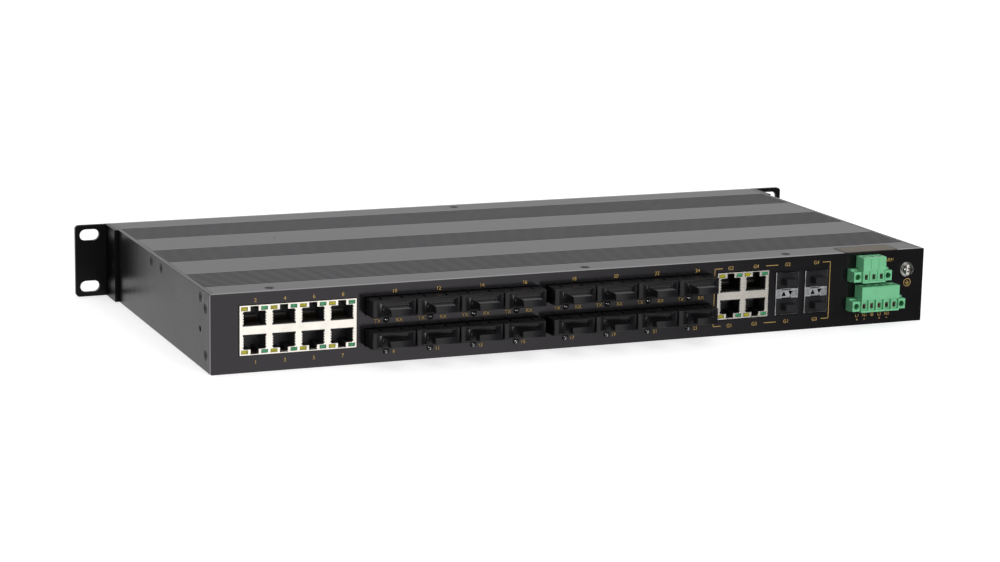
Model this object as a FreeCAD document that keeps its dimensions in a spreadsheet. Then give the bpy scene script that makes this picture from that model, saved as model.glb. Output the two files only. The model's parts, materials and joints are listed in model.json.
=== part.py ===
import FreeCAD, Part

import os
import Sketcher

# A 1U rack switch: 8 + 4 copper sockets, 16 capped fibre transceivers, 4 SFP cages and
# two plug-in terminal blocks on one long face, rack ears and indicator lamps on the other.
# X runs along the port face, -Y points out of the port face, +Z is up.  The origin is at
# the middle of the footprint, on the underside of the case.  All lengths are millimetres.

Vector = FreeCAD.Vector
Rotation = FreeCAD.Rotation

doc = FreeCAD.newDocument("RackSwitch")
sheet = doc.addObject("Spreadsheet::Sheet", "Sizes")

SIZES = {
    # Case
    "case_width": 440.0,
    "case_depth": 219.0,
    "case_height": 44.0,
    "panel_thick": 3.0,
    "side_thick": 2.5,
    "bottom_thick": 1.5,
    "edge_break": 0.4,
    "flange_reach": 11.0,
    "flange_low": 37.4,
    "flange_high": 39.4,
    # Extruded top cover
    "cover_thick": 4.5,
    "groove_width": 1.6,
    "groove_depth": 2.6,
    "groove_pitch": 3.0,
    "band_pitch": 71.0,
    "screw_rib_width": 8.0,
    "screw_rib_drop": 2.2,
    "marker_hole_radius": 0.8,
    "marker_hole_depth": 1.5,
    # Countersunk case screws
    "screw_head_radius": 2.8,
    "screw_head_depth": 1.5,
    "screw_radius": 1.45,
    "screw_length": 7.0,
    "short_screw_length": 5.6,
    "screw_gap": 0.12,
    "cross_length": 3.0,
    "cross_width": 0.6,
    "cross_depth": 1.0,
    "side_screw_height": 39.3,
    "block_screw_high": 34.6,
    "block_screw_low": 8.9,
    "block_screw_inset": 9.6,
    "cover_screw_inset": 8.6,
    "spare_hole_inset": 20.25,
    "spare_hole_height": 21.5,
    "spare_hole_radius": 1.7,
    # Corner blocks
    "block_width": 12.0,
    "block_depth": 11.0,
    "block_low": 1.7,
    "block_high": 37.2,
    # Rack ears
    "rack_width": 482.6,
    "ear_thick": 2.5,
    "ear_leg": 23.7,
    "slot_spacing_across": 465.1,
    "slot_spacing_up": 31.75,
    "slot_length": 12.0,
    "slot_radius": 3.45,
    "ear_corner": 2.5,
    # Copper sockets
    "socket_pitch": 16.5,
    "socket_width": 12.2,
    "socket_height": 7.8,
    "socket_depth": 12.5,
    "socket_row_offset": 6.62,
    "socket_mid_height": 23.35,
    "latch_width": 4.6,
    "latch_height": 2.7,
    "shield_height": 27.3,
    "shield_depth": 25.0,
    "shield_wall": 0.5,
    "shield_proud": 0.4,
    "shield_edge": 0.2,
    "insert_width": 15.7,
    "insert_gap": 0.15,
    "lamp_width": 3.6,
    "lamp_height": 1.9,
    "lamp_depth": 3.0,
    "lamp_aside": 5.6,
    "lamp_above": 5.25,
    "contact_pitch": 1.02,
    "contact_width": 0.45,
    "contact_thick": 0.3,
    "contact_length": 8.6,
    "contact_lift": 0.45,
    "contact_setback": 0.35,
    "big_block_mid": -171.0,
    "small_block_mid": 99.05,
    # Fibre transceivers and their dust caps
    "fibre_width": 25.4,
    "fibre_height": 9.4,
    "fibre_pitch": 25.8,
    "fibre_proud": 9.6,
    "fibre_depth": 44.0,
    "fibre_group_one": -119.9,
    "fibre_group_two": -12.4,
    "fibre_upper": 32.3,
    "fibre_lower": 14.7,
    "fibre_port_aside": 6.35,
    "fibre_port_width": 9.2,
    "fibre_port_height": 7.4,
    "fibre_port_depth": 15.0,
    "key_width": 1.3,
    "key_length": 5.2,
    "key_setback": 2.3,
    "ferrule_radius": 2.1,
    "ferrule_bore": 1.25,
    "ferrule_length": 6.0,
    "top_dot_radius": 0.6,
    "top_dot_depth": 0.6,
    "key_depth": 2.0,
    "cap_gap": 0.3,
    "cap_flange": 1.5,
    "cap_reach": 22.0,
    "cap_root_width": 22.0,
    "cap_root_height": 9.0,
    "cap_neck_width": 11.7,
    "cap_neck_height": 3.9,
    "cap_flare_radius": 6.5,
    "cap_flare_reach": 6.36,
    "cap_channel_width": 16.8,
    "cap_nose_width": 8.5,
    "cap_nose_height": 6.7,
    "cap_nose_depth": 5.0,
    "cap_height_gap": 0.2,
    "cap_neck_rim": 0.45,
    "fibre_lamp_radius": 1.75,
    "fibre_lamp_depth": 3.8,
    "fibre_lamp_shift": -0.75,
    "fibre_lamp_drop": 8.3,
    # SFP cages and their dust plugs
    "cage_mid": 128.2,
    "cage_pitch": 19.2,
    "cage_width": 15.2,
    "cage_low": 9.7,
    "cage_high": 35.1,
    "cage_wall": 0.5,
    "cage_depth": 48.0,
    "cage_proud": 0.3,
    "cage_band": 5.5,
    "arrow_width": 3.0,
    "arrow_height": 3.0,
    "arrow_aside": 2.2,
    "sfp_plug_width": 13.7,
    "sfp_plug_height": 8.9,
    "sfp_plug_depth": 12.0,
    "sfp_grip_width": 7.5,
    "sfp_grip_height": 3.8,
    "sfp_grip_reach": 6.4,
    "sfp_plug_wall": 1.2,
    "sfp_plug_face": 1.5,
    # Plug-in terminal blocks
    "way_pitch": 5.08,
    "alarm_mid": 181.2,
    "alarm_low": 27.1,
    "alarm_high": 42.2,
    "power_mid": 186.15,
    "power_low": 9.5,
    "power_high": 24.7,
    "header_height": 7.5,
    "header_proud": 3.3,
    "header_back": 9.0,
    "header_wall": 1.0,
    "header_side": 0.4,
    "header_tap_radius": 1.2,
    "header_tap_depth": 5.0,
    "plug_gap": 0.3,
    "plug_bevel": 0.6,
    "plug_panel_gap": 0.5,
    "plug_nose_side": 0.7,
    "plug_reach": 9.2,
    "ear_reach": 7.6,
    "plug_ear_height": 6.0,
    "plug_ear_hole": 1.75,
    "plug_ear_drop": 0.2,
    "plug_ear_hole_depth": 11.0,
    "nose_length": 6.5,
    "pin_side": 1.0,
    "pin_length": 6.0,
    "entry_width": 2.1,
    "entry_height": 3.2,
    "entry_depth": 4.6,
    "entry_rise": 1.9,
    "recess_width": 4.2,
    "recess_depth": 0.6,
    "recess_rise": 1.1,
    "recess_top_gap": 0.2,
    "pin_way_gap": 0.3,
    "clamp_hole_radius": 1.7,
    "clamp_hole_depth": 5.0,
    "clamp_screw_radius": 1.5,
    "clamp_screw_length": 2.4,
    "clamp_slot_width": 0.5,
    "clamp_shift": 0.2,
    "screw_slot_depth": 0.8,
    # Ground screw
    "ground_x": 208.3,
    "ground_height": 32.0,
    "ground_washer_radius": 4.4,
    "ground_washer_thick": 0.8,
    "ground_spring_radius": 3.7,
    "ground_spring_thick": 1.0,
    "ground_head_radius": 3.4,
    "ground_head_height": 2.3,
    "ground_shank_radius": 1.95,
    "ground_shank_length": 10.0,
    "ground_cross_length": 4.0,
    "ground_cross_width": 0.9,
    "ground_cross_depth": 1.3,
    # Boards
    "board_width": 409.0,
    "board_front": 4.0,
    "board_depth": 198.0,
    "board_top": 9.4,
    "board_thick": 1.6,
    "riser_top": 27.2,
    "riser_depth": 56.0,
    "riser_left": -134.0,
    "riser_right": 79.0,
    "standoff_radius": 2.6,
    "board_screw_radius": 2.6,
    "board_screw_height": 1.8,
    "board_screw_reach": 3.5,
    "board_screw_slot": 0.7,
    "standoff_tap": 4.0,
    "chip_side": 31.0,
    "chip_height": 2.6,
    "chip_x": 10.0,
    "chip_back": 118.0,
    "heat_block_side": 27.0,
    "converter_width": 56.0,
    "converter_depth": 60.0,
    "converter_lift": 2.0,
    "converter_height": 22.0,
    "converter_x": 170.0,
    "converter_back": 84.0,
    "converter_pitch": 74.0,
    # Indicator side
    "indicator_radius": 1.2,
    "indicator_pitch": 10.16,
    "indicator_low": 15.0,
    "indicator_rise": 14.0,
    "indicator_board_gap": 10.0,
    "indicator_board_lift": 1.5,
    "indicator_board_drop": 2.0,
    # Blank label
    "label_mid": 184.7,
    "label_width": 35.6,
    "label_front": 0.8,
    "label_depth": 14.8,
    "label_thick": 0.2,
}

SOCKET_COLUMNS = {"big": 4, "small": 2}
FIBRE_COLUMNS = 4
GROOVES_PER_BAND = 12
CONTACTS_PER_SOCKET = 8
COVER_SCREWS_FRONT = (-184.7, 2.0, 131.0)
COVER_SCREWS_BACK = (2.0,)
SIDE_SCREW_INSETS = (18.9, 99.0)
MARKER_HOLE = (-138.2, 145.6)
STANDOFF_COLUMNS = (-190.0, -60.0, 60.0, 190.0)
STANDOFF_ROWS = (70.0, 190.0)
RISER_STANDOFFS = (-125.0, -60.0, 5.0, 70.0)
RISER_STANDOFF_BACK = 55.0
INDICATOR_COLUMNS = 16
CONTACT_TILT = 14.0
GROUND_CROWN_TAPER = 0.72

# Allowances: how far a cutting tool runs past a face, how far joined solids overlap,
# and the air left between pieces that sit in one another.
OVERRUN = 1.0
THROUGH = 8.0
OVERLAP = 0.5
BORE_SLACK = 0.5
BLOCK_BORE_SLACK = 3.0
HAIR_GAP = 0.1
FLANGE_GAP = 0.2
WINDOW_GAP = 0.3
WIDE_WINDOW_GAP = 0.4
FIT_GAP = 0.2
INSERT_STANDOFF = 0.05

OUT = {
    "+X": Rotation(Vector(0, 1, 0), 90),
    "-X": Rotation(Vector(0, 1, 0), -90),
    "+Y": Rotation(Vector(1, 0, 0), -90),
    "-Y": Rotation(Vector(1, 0, 0), 90),
    "+Z": Rotation(),
    "-Z": Rotation(Vector(1, 0, 0), 180),
}


class Size:
    """A length that carries both its number and the sheet formula that gives it."""

    def __init__(self, number, formula):
        self.number = number
        self.formula = formula

    def joined(self, sign, other, number):
        return Size(number, f"({self.formula} {sign} {other.formula})")

    def __add__(self, other):
        other = as_size(other)
        return self.joined("+", other, self.number + other.number)

    def __radd__(self, other):
        return as_size(other) + self

    def __sub__(self, other):
        other = as_size(other)
        return self.joined("-", other, self.number - other.number)

    def __rsub__(self, other):
        return as_size(other) - self

    def __mul__(self, other):
        other = as_size(other)
        return self.joined("*", other, self.number * other.number)

    def __rmul__(self, other):
        return as_size(other) * self

    def __truediv__(self, other):
        other = as_size(other)
        return self.joined("/", other, self.number / other.number)

    def __neg__(self):
        return as_size(0) - self


class Cells:
    """Gives each cell of the sheet as a Size, by its alias."""

    def __getattr__(self, alias):
        return Size(SIZES[alias], f"Sizes.{alias}")


def as_size(value):
    if isinstance(value, Size):
        return value
    return Size(float(value), f"({float(value)})")


def fill_sheet():
    for row, (alias, value) in enumerate(SIZES.items(), start=1):
        sheet.set(f"A{row}", alias)
        sheet.set(f"B{row}", str(value))
        sheet.setAlias(f"B{row}", alias)
    doc.recompute()


def bind(thing, path, length):
    """Tie a property of an object to the sheet, unless the length is a bare number."""
    if "Sizes." in length.formula:
        thing.setExpression(path, length.formula)


def set_length(thing, field, length):
    length = as_size(length)
    setattr(thing, field, length.number)
    bind(thing, field, length)


def place(thing, point, rotation=Rotation()):
    point = [as_size(coordinate) for coordinate in point]
    corner = Vector(*[coordinate.number for coordinate in point])
    thing.Placement = FreeCAD.Placement(corner, rotation)
    for axis, coordinate in zip("xyz", point):
        bind(thing, f"Placement.Base.{axis}", coordinate)


def about(middle, size):
    """The span of the given size centred on a value."""
    return (middle - size / 2, middle + size / 2)


def block(name, x_span, y_span, z_span):
    solid = doc.addObject("Part::Box", name)
    spans = [(as_size(low), as_size(high)) for low, high in (x_span, y_span, z_span)]
    place(solid, [low for low, high in spans])
    for field, (low, high) in zip(("Length", "Width", "Height"), spans):
        set_length(solid, field, high - low)
    return solid


def rod(name, foot, direction, radius, length):
    solid = doc.addObject("Part::Cylinder", name)
    set_length(solid, "Radius", radius)
    set_length(solid, "Height", length)
    place(solid, foot, OUT[direction])
    return solid


def cone(name, foot, direction, foot_radius, end_radius, length):
    solid = doc.addObject("Part::Cone", name)
    set_length(solid, "Radius1", foot_radius)
    set_length(solid, "Radius2", end_radius)
    set_length(solid, "Height", length)
    place(solid, foot, OUT[direction])
    return solid


def ball(name, centre, radius):
    solid = doc.addObject("Part::Sphere", name)
    set_length(solid, "Radius", radius)
    place(solid, centre)
    return solid


def taper(name, y_span, x_spans, z_spans):
    """A block whose x and z spans change from its low y end to its high y end."""
    solid = doc.addObject("Part::Wedge", name)
    ends = {
        "Ymin": y_span[0], "Ymax": y_span[1],
        "Xmin": x_spans[0][0], "Xmax": x_spans[0][1],
        "X2min": x_spans[1][0], "X2max": x_spans[1][1],
        "Zmin": z_spans[0][0], "Zmax": z_spans[0][1],
        "Z2min": z_spans[1][0], "Z2max": z_spans[1][1],
    }
    for field, value in ends.items():
        set_length(solid, field, value)
    return solid


def fuse(name, pieces):
    if len(pieces) == 1:
        return pieces[0]
    joined = doc.addObject("Part::MultiFuse", name)
    joined.Shapes = pieces
    return joined


def cut(name, base, tools):
    result = doc.addObject("Part::Cut", name)
    result.Base = base
    result.Tool = fuse(f"{name}_tools", tools)
    return result


def group(name, pieces):
    """Separate solids of one kind, kept in one sub-part."""
    together = doc.addObject("Part::Compound", name)
    together.Links = pieces
    return together


def new_body(name):
    return doc.addObject("PartDesign::Body", name)


def new_sketch(body, plane, name):
    sketch = body.newObject("Sketcher::SketchObject", name)
    role = f"{plane}_Plane"
    origin_plane = [item for item in body.Origin.OriginFeatures if item.Role == role][0]
    sketch.AttachmentSupport = [(origin_plane, "")]
    sketch.MapMode = "FlatFace"
    return sketch


def fix_point(sketch, element, end, point):
    """Hold one point of a sketch at the given distances from the sketch's origin."""
    for kind, value in zip(("DistanceX", "DistanceY"), point):
        rule = Sketcher.Constraint(kind, -1, 1, element, end, value.number)
        index = sketch.addConstraint(rule)
        bind(sketch, f"Constraints[{index}]", value)


def draw_outline(sketch, points):
    """A closed outline of straight lines with every corner fixed."""
    points = [(as_size(across), as_size(up)) for across, up in points]
    first = sketch.GeometryCount
    corners = [Vector(across.number, up.number, 0) for across, up in points]
    for here, there in zip(corners, corners[1:] + corners[:1]):
        sketch.addGeometry(Part.LineSegment(here, there), False)
    for index, point in enumerate(points):
        following = (index + 1) % len(points)
        rule = Sketcher.Constraint("Coincident", first + index, 2, first + following, 1)
        sketch.addConstraint(rule)
        fix_point(sketch, first + index, 1, point)


def draw_rectangle(sketch, across, up):
    draw_outline(
        sketch,
        [(across[0], up[0]), (across[1], up[0]), (across[1], up[1]), (across[0], up[1])],
    )


def draw_circle(sketch, centre, radius):
    across, up, radius = (as_size(value) for value in (*centre, radius))
    index = sketch.GeometryCount
    middle = Vector(across.number, up.number, 0)
    sketch.addGeometry(Part.Circle(middle, Vector(0, 0, 1), radius.number), False)
    fix_point(sketch, index, 3, (across, up))
    rule = sketch.addConstraint(Sketcher.Constraint("Radius", index, radius.number))
    bind(sketch, f"Constraints[{rule}]", radius)


def pad(body, sketch, name, length, centred=False, backwards=False):
    feature = body.newObject("PartDesign::Pad", name)
    feature.Profile = sketch
    feature.Midplane = centred
    feature.Reversed = backwards
    set_length(feature, "Length", length)
    return feature


def pocket_through(body, sketch, name):
    feature = body.newObject("PartDesign::Pocket", name)
    feature.Profile = sketch
    feature.Type = "ThroughAll"
    feature.Midplane = True
    return feature


parts = []


def sub_part(name, thing):
    """Mark an object as a finished piece; its label names its file."""
    thing.Label = name
    parts.append(thing)
    return thing


cell = Cells()
fill_sheet()

half_width = cell.case_width / 2
inner_half = half_width - cell.side_thick
port_face = (cell.cap_reach - cell.case_depth) / 2
panel_back = port_face + cell.panel_thick
indicator_face = port_face + cell.case_depth
indicator_back = indicator_face - cell.panel_thick


def behind(depth):
    """The y of a plane that lies this far behind the port face."""
    return port_face + depth


def ahead(reach):
    """The y of a plane that stands this far out of the port face."""
    return port_face - reach


# ---------------------------------------------------------------- screws

def screw_tool(name, head, direction, length):
    """The countersunk hole that one case screw needs."""
    gap = cell.screw_gap
    seat = cone(
        f"{name}_seat", head, direction,
        cell.screw_head_radius + gap, cell.screw_radius + gap, cell.screw_head_depth,
    )
    bore = rod(f"{name}_bore", head, direction, cell.screw_radius + gap, length + BORE_SLACK)
    return [seat, bore]


def case_screw(name, head, direction, length):
    """A countersunk screw with a cross recess, its head level with the surface."""
    crown = cone(
        f"{name}_crown", head, direction,
        cell.screw_head_radius, cell.screw_radius, cell.screw_head_depth,
    )
    shank = rod(f"{name}_shank", head, direction, cell.screw_radius, length)
    arms = []
    for quarter in (0, 1):
        sides = (cell.cross_length, cell.cross_width)
        arm = doc.addObject("Part::Box", f"{name}_arm")
        set_length(arm, "Length", sides[quarter])
        set_length(arm, "Width", sides[1 - quarter])
        set_length(arm, "Height", cell.cross_depth * 2)
        turn = OUT[direction]
        shift = turn.multVec(Vector(
            -sides[quarter].number / 2, -sides[1 - quarter].number / 2, -cell.cross_depth.number,
        ))
        place(arm, [at + move for at, move in zip(head, shift)], turn)
        arms.append(arm)
    return cut(name, fuse(f"{name}_solid", [crown, shank]), arms)


def side_screw_places():
    """The y and z of each screw in a side plate, nearest the port face first."""
    high = cell.side_screw_height
    places = [(behind(inset), high) for inset in SIDE_SCREW_INSETS]
    places += [(behind(cell.case_depth - inset), high) for inset in SIDE_SCREW_INSETS]
    near = behind(cell.block_screw_inset)
    return places + [(near, cell.block_screw_high), (near, cell.block_screw_low)]


def ear_screw_places():
    far = behind(cell.case_depth - cell.block_screw_inset)
    spare = behind(cell.case_depth - cell.spare_hole_inset)
    return [
        (far, cell.block_screw_high),
        (far, cell.block_screw_low),
        (spare, cell.spare_hole_height),
    ]


def cover_screw_places():
    front = behind(cell.cover_screw_inset)
    back = behind(cell.case_depth - cell.cover_screw_inset)
    return [(x, front) for x in COVER_SCREWS_FRONT] + [(x, back) for x in COVER_SCREWS_BACK]


def bottom_screw_places():
    """Screws into the corner blocks from below."""
    x = inner_half - cell.block_width / 2
    rows = (panel_back + cell.block_depth / 2, indicator_back - cell.block_depth / 2)
    return [(side * x, y) for side in (-1, 1) for y in rows]


SIDES = {"left": (-1, "+X"), "right": (1, "-X")}


def side_tools(face_x, direction, places, length):
    tools = []
    for index, (y, z) in enumerate(places):
        tools += screw_tool(f"side_hole_{index}", (face_x, y, z), direction, length)
    return tools


def build_screws():
    screws = []
    ear_screws = []
    for hand, (sign, direction) in SIDES.items():
        for y, z in side_screw_places():
            head = (sign * half_width, y, z)
            screws.append(case_screw(f"{hand}_screw", head, direction, cell.screw_length))
        for y, z in ear_screw_places():
            head = (sign * (half_width + cell.ear_thick), y, z)
            ear_screws.append(case_screw(f"{hand}_ear_screw", head, direction, cell.screw_length))
    for x, y in cover_screw_places():
        head = (as_size(x), y, cell.case_height)
        screws.append(case_screw("cover_screw", head, "-Z", cell.short_screw_length))
    for x, y in bottom_screw_places():
        head = (x, y, as_size(0))
        screws.append(case_screw("bottom_screw", head, "+Z", cell.short_screw_length))
    sub_part("case_screws", group("case_screws", screws))
    sub_part("rack_ear_screws", group("rack_ear_screws", ear_screws))


# ---------------------------------------------------------------- case

def build_top_cover():
    """A heavy aluminium plate with three grooved bands and four screw ribs below."""
    top = cell.case_height
    under = top - cell.cover_thick
    rib_foot = under - cell.screw_rib_drop
    profile = [(panel_back, under)]
    ribs = [behind(inset) for inset in SIDE_SCREW_INSETS]
    ribs += [behind(cell.case_depth - inset) for inset in reversed(SIDE_SCREW_INSETS)]
    for middle in ribs:
        low, high = about(middle, cell.screw_rib_width)
        profile += [(low, under), (low, rib_foot), (high, rib_foot), (high, under)]
    profile += [(indicator_back, under), (indicator_back, top), (panel_back, top)]
    body = new_body("cover_blank")
    sketch = new_sketch(body, "YZ", "cover_profile")
    draw_outline(sketch, profile)
    pad(body, sketch, "cover_length", inner_half * 2, centred=True)
    tools = []
    middle_y = behind(cell.case_depth / 2)
    for band in (-1, 0, 1):
        for index in range(GROOVES_PER_BAND):
            step = index - (GROOVES_PER_BAND - 1) / 2
            y = middle_y + band * cell.band_pitch + step * cell.groove_pitch
            tools.append(block(
                "groove", (-half_width, half_width), about(y, cell.groove_width),
                (top - cell.groove_depth, top + OVERRUN),
            ))
    for x, y in cover_screw_places():
        tools += screw_tool("cover_hole", (x, y, top), "-Z", cell.short_screw_length)
    for y, z in side_screw_places()[:4]:
        for sign, direction in SIDES.values():
            foot = (sign * half_width, y, z)
            tools.append(rod(
                "rib_hole", foot, direction,
                cell.screw_radius + cell.screw_gap, cell.screw_length + BORE_SLACK,
            ))
    x, depth = MARKER_HOLE
    tools.append(rod("marker_hole", (x, behind(depth), top), "-Z",
                     cell.marker_hole_radius, cell.marker_hole_depth))
    sub_part("top_cover", cut("top_cover", body, tools))


def build_bottom_cover():
    """A flat sheet between the side plates, with the screw holes of the blocks and standoffs."""
    body = new_body("bottom_blank")
    sketch = new_sketch(body, "XY", "bottom_outline")
    draw_rectangle(sketch, (-inner_half, inner_half), (panel_back, indicator_back))
    pad(body, sketch, "bottom_sheet", cell.bottom_thick)
    tools = []
    for x, y in bottom_screw_places():
        tools += screw_tool("bottom_hole", (x, y, 0), "+Z", cell.short_screw_length)
    sub_part("bottom_cover", cut("bottom_cover", body, tools))


def build_side_plates():
    for hand, (sign, direction) in SIDES.items():
        body = new_body(f"{hand}_plate_blank")
        sketch = new_sketch(body, "YZ", f"{hand}_plate_outline")
        draw_rectangle(sketch, (panel_back, indicator_back), (0, cell.case_height))
        pad(body, sketch, f"{hand}_plate", cell.side_thick, backwards=sign > 0)
        face = sign * half_width
        place(body, (face, 0, 0))
        tools = side_tools(face, direction, side_screw_places(), cell.screw_length)
        outside = face + sign * OVERRUN
        spare = (outside, behind(cell.spare_hole_inset), cell.spare_hole_height)
        tools.append(rod("spare_hole", spare, direction, cell.spare_hole_radius, THROUGH))
        for y, z in ear_screw_places():
            tools.append(rod(
                "ear_screw_hole", (outside, y, z), direction,
                cell.screw_radius + cell.screw_gap, THROUGH,
            ))
        sub_part(f"{hand}_side_plate", cut(f"{hand}_side_plate", body, tools))


def build_corner_blocks():
    """Tapped blocks that tie the panels, the side plates and the bottom together."""
    blocks = []
    rows = (
        (panel_back + HAIR_GAP, panel_back + cell.block_depth),
        (indicator_back - cell.block_depth, indicator_back - HAIR_GAP),
    )
    bore = cell.screw_radius + cell.screw_gap
    for hand, (sign, direction) in SIDES.items():
        ends = sorted(
            (sign * (inner_half - cell.block_width), sign * (inner_half - HAIR_GAP)),
            key=lambda end: end.number,
        )
        for row, y_span in enumerate(rows):
            solid = block("corner_block", ends, y_span, (cell.block_low, cell.block_high))
            face = sign * half_width
            near = behind(cell.block_screw_inset)
            far = behind(cell.case_depth - cell.block_screw_inset)
            y = (near, far)[row]
            depth = cell.screw_length + BLOCK_BORE_SLACK
            tools = [
                rod("block_bore", (face, y, z), direction, bore, depth)
                for z in (cell.block_screw_high, cell.block_screw_low)
            ]
            x, y_below = bottom_screw_places()[(0 if sign < 0 else 2) + row]
            tools.append(rod("block_bore", (x, y_below, 0), "+Z", bore,
                             cell.short_screw_length + BORE_SLACK))
            if sign > 0 and row == 0:
                foot = (cell.ground_x, port_face, cell.ground_height)
                tools.append(rod(
                    "ground_bore", foot, "+Y",
                    cell.ground_shank_radius + cell.screw_gap,
                    cell.ground_shank_length + OVERRUN,
                ))
            blocks.append(cut("corner_block", solid, tools))
    sub_part("corner_blocks", group("corner_blocks", blocks))


def fibre_x(column):
    """The middle of a fibre column, counted 0 to 7 from the left."""
    start = (cell.fibre_group_one, cell.fibre_group_two)[column // FIBRE_COLUMNS]
    return start + (column % FIBRE_COLUMNS) * cell.fibre_pitch


def fibre_rows():
    return (cell.fibre_lower, cell.fibre_upper)


def shield_span(kind):
    middle = {"big": cell.big_block_mid, "small": cell.small_block_mid}[kind]
    count = SOCKET_COLUMNS[kind]
    return about(middle, count * cell.socket_pitch + cell.shield_edge)


def socket_x(kind, column):
    middle = {"big": cell.big_block_mid, "small": cell.small_block_mid}[kind]
    return middle + (column - (SOCKET_COLUMNS[kind] - 1) / 2) * cell.socket_pitch


def cage_x(column):
    return cell.cage_mid + column * cell.cage_pitch


TERMINALS = {
    "alarm": (3, cell.alarm_mid, cell.alarm_low, cell.alarm_high),
    "power": (5, cell.power_mid, cell.power_low, cell.power_high),
}


def terminal_half(ways):
    """Half the width of a terminal block with its two flange ears."""
    return (ways + 2) * cell.way_pitch / 2


def widened(span, gap):
    return (span[0] - gap, span[1] + gap)


def build_panels():
    """Two aluminium panels, each with a flange that the top cover is screwed to."""
    height = cell.case_height
    break_size = cell.edge_break
    outline = [
        (-half_width + break_size, 0), (half_width - break_size, 0),
        (half_width, break_size), (half_width, height - break_size),
        (half_width - break_size, height), (-half_width + break_size, height),
        (-half_width, height - break_size), (-half_width, break_size),
    ]
    body = new_body("port_panel_blank")
    sketch = new_sketch(body, "XZ", "port_panel_outline")
    draw_outline(sketch, outline)
    pad(body, sketch, "port_panel_plate", cell.panel_thick)
    windows = new_sketch(body, "XZ", "port_panel_windows")
    mid = cell.socket_mid_height
    for kind in SOCKET_COLUMNS:
        draw_rectangle(
            windows, widened(shield_span(kind), WINDOW_GAP),
            widened(about(mid, cell.shield_height), WINDOW_GAP),
        )
    for first in (0, FIBRE_COLUMNS):
        left = fibre_x(first) - cell.fibre_width / 2
        right = fibre_x(first + FIBRE_COLUMNS - 1) + cell.fibre_width / 2
        for z in fibre_rows():
            draw_rectangle(
                windows, widened((left, right), WIDE_WINDOW_GAP),
                widened(about(z, cell.fibre_height), WIDE_WINDOW_GAP),
            )
    for column in (0, 1):
        draw_rectangle(
            windows, widened(about(cage_x(column), cell.cage_width), WINDOW_GAP),
            widened((cell.cage_low, cell.cage_high), WINDOW_GAP),
        )
    for ways, middle, low, high in TERMINALS.values():
        half = terminal_half(ways)
        draw_rectangle(
            windows, widened((middle - half, middle + half), WINDOW_GAP),
            widened((low, low + cell.header_height), WINDOW_GAP),
        )
    lamp_radius = cell.fibre_lamp_radius + FIT_GAP
    for column in range(2 * FIBRE_COLUMNS):
        for z in fibre_rows():
            x = fibre_x(column) + cell.fibre_lamp_shift
            draw_circle(windows, (x, z - cell.fibre_lamp_drop), lamp_radius)
    draw_circle(windows, (cell.ground_x, cell.ground_height),
                cell.ground_shank_radius + HAIR_GAP)
    pocket_through(body, windows, "port_panel_cuts")
    place(body, (0, panel_back, 0))
    flange = block(
        "port_flange", (-inner_half + FLANGE_GAP, inner_half - FLANGE_GAP),
        (panel_back - OVERLAP, panel_back + cell.flange_reach),
        (cell.flange_low, cell.flange_high),
    )
    holes = []
    for x, y in cover_screw_places()[:3]:
        holes.append(rod("flange_hole", (x, y, cell.case_height), "-Z",
                         cell.screw_radius + cell.screw_gap, THROUGH))
    sub_part("port_panel", cut("port_panel", fuse("port_panel_solid", [body, flange]), holes))

    plate = new_body("indicator_panel_blank")
    sketch = new_sketch(plate, "XZ", "indicator_outline")
    draw_outline(sketch, outline)
    pad(plate, sketch, "indicator_plate", cell.panel_thick)
    windows = new_sketch(plate, "XZ", "indicator_windows")
    for x, z in indicator_places():
        draw_circle(windows, (x, z), cell.indicator_radius + HAIR_GAP)
    pocket_through(plate, windows, "indicator_cuts")
    place(plate, (0, indicator_face, 0))
    flange = block(
        "indicator_flange", (-inner_half + FLANGE_GAP, inner_half - FLANGE_GAP),
        (indicator_back - cell.flange_reach, indicator_back + OVERLAP),
        (cell.flange_low, cell.flange_high),
    )
    holes = []
    for x, y in cover_screw_places()[3:]:
        holes.append(rod("flange_hole", (x, y, cell.case_height), "-Z",
                         cell.screw_radius + cell.screw_gap, THROUGH))
    solid = fuse("indicator_solid", [plate, flange])
    sub_part("indicator_panel", cut("indicator_panel", solid, holes))


def indicator_places():
    places = []
    for column in range(INDICATOR_COLUMNS):
        x = (column - (INDICATOR_COLUMNS - 1) / 2) * cell.indicator_pitch
        for row in (0, 1):
            places.append((x, cell.indicator_low + row * cell.indicator_rise))
    return places


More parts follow.
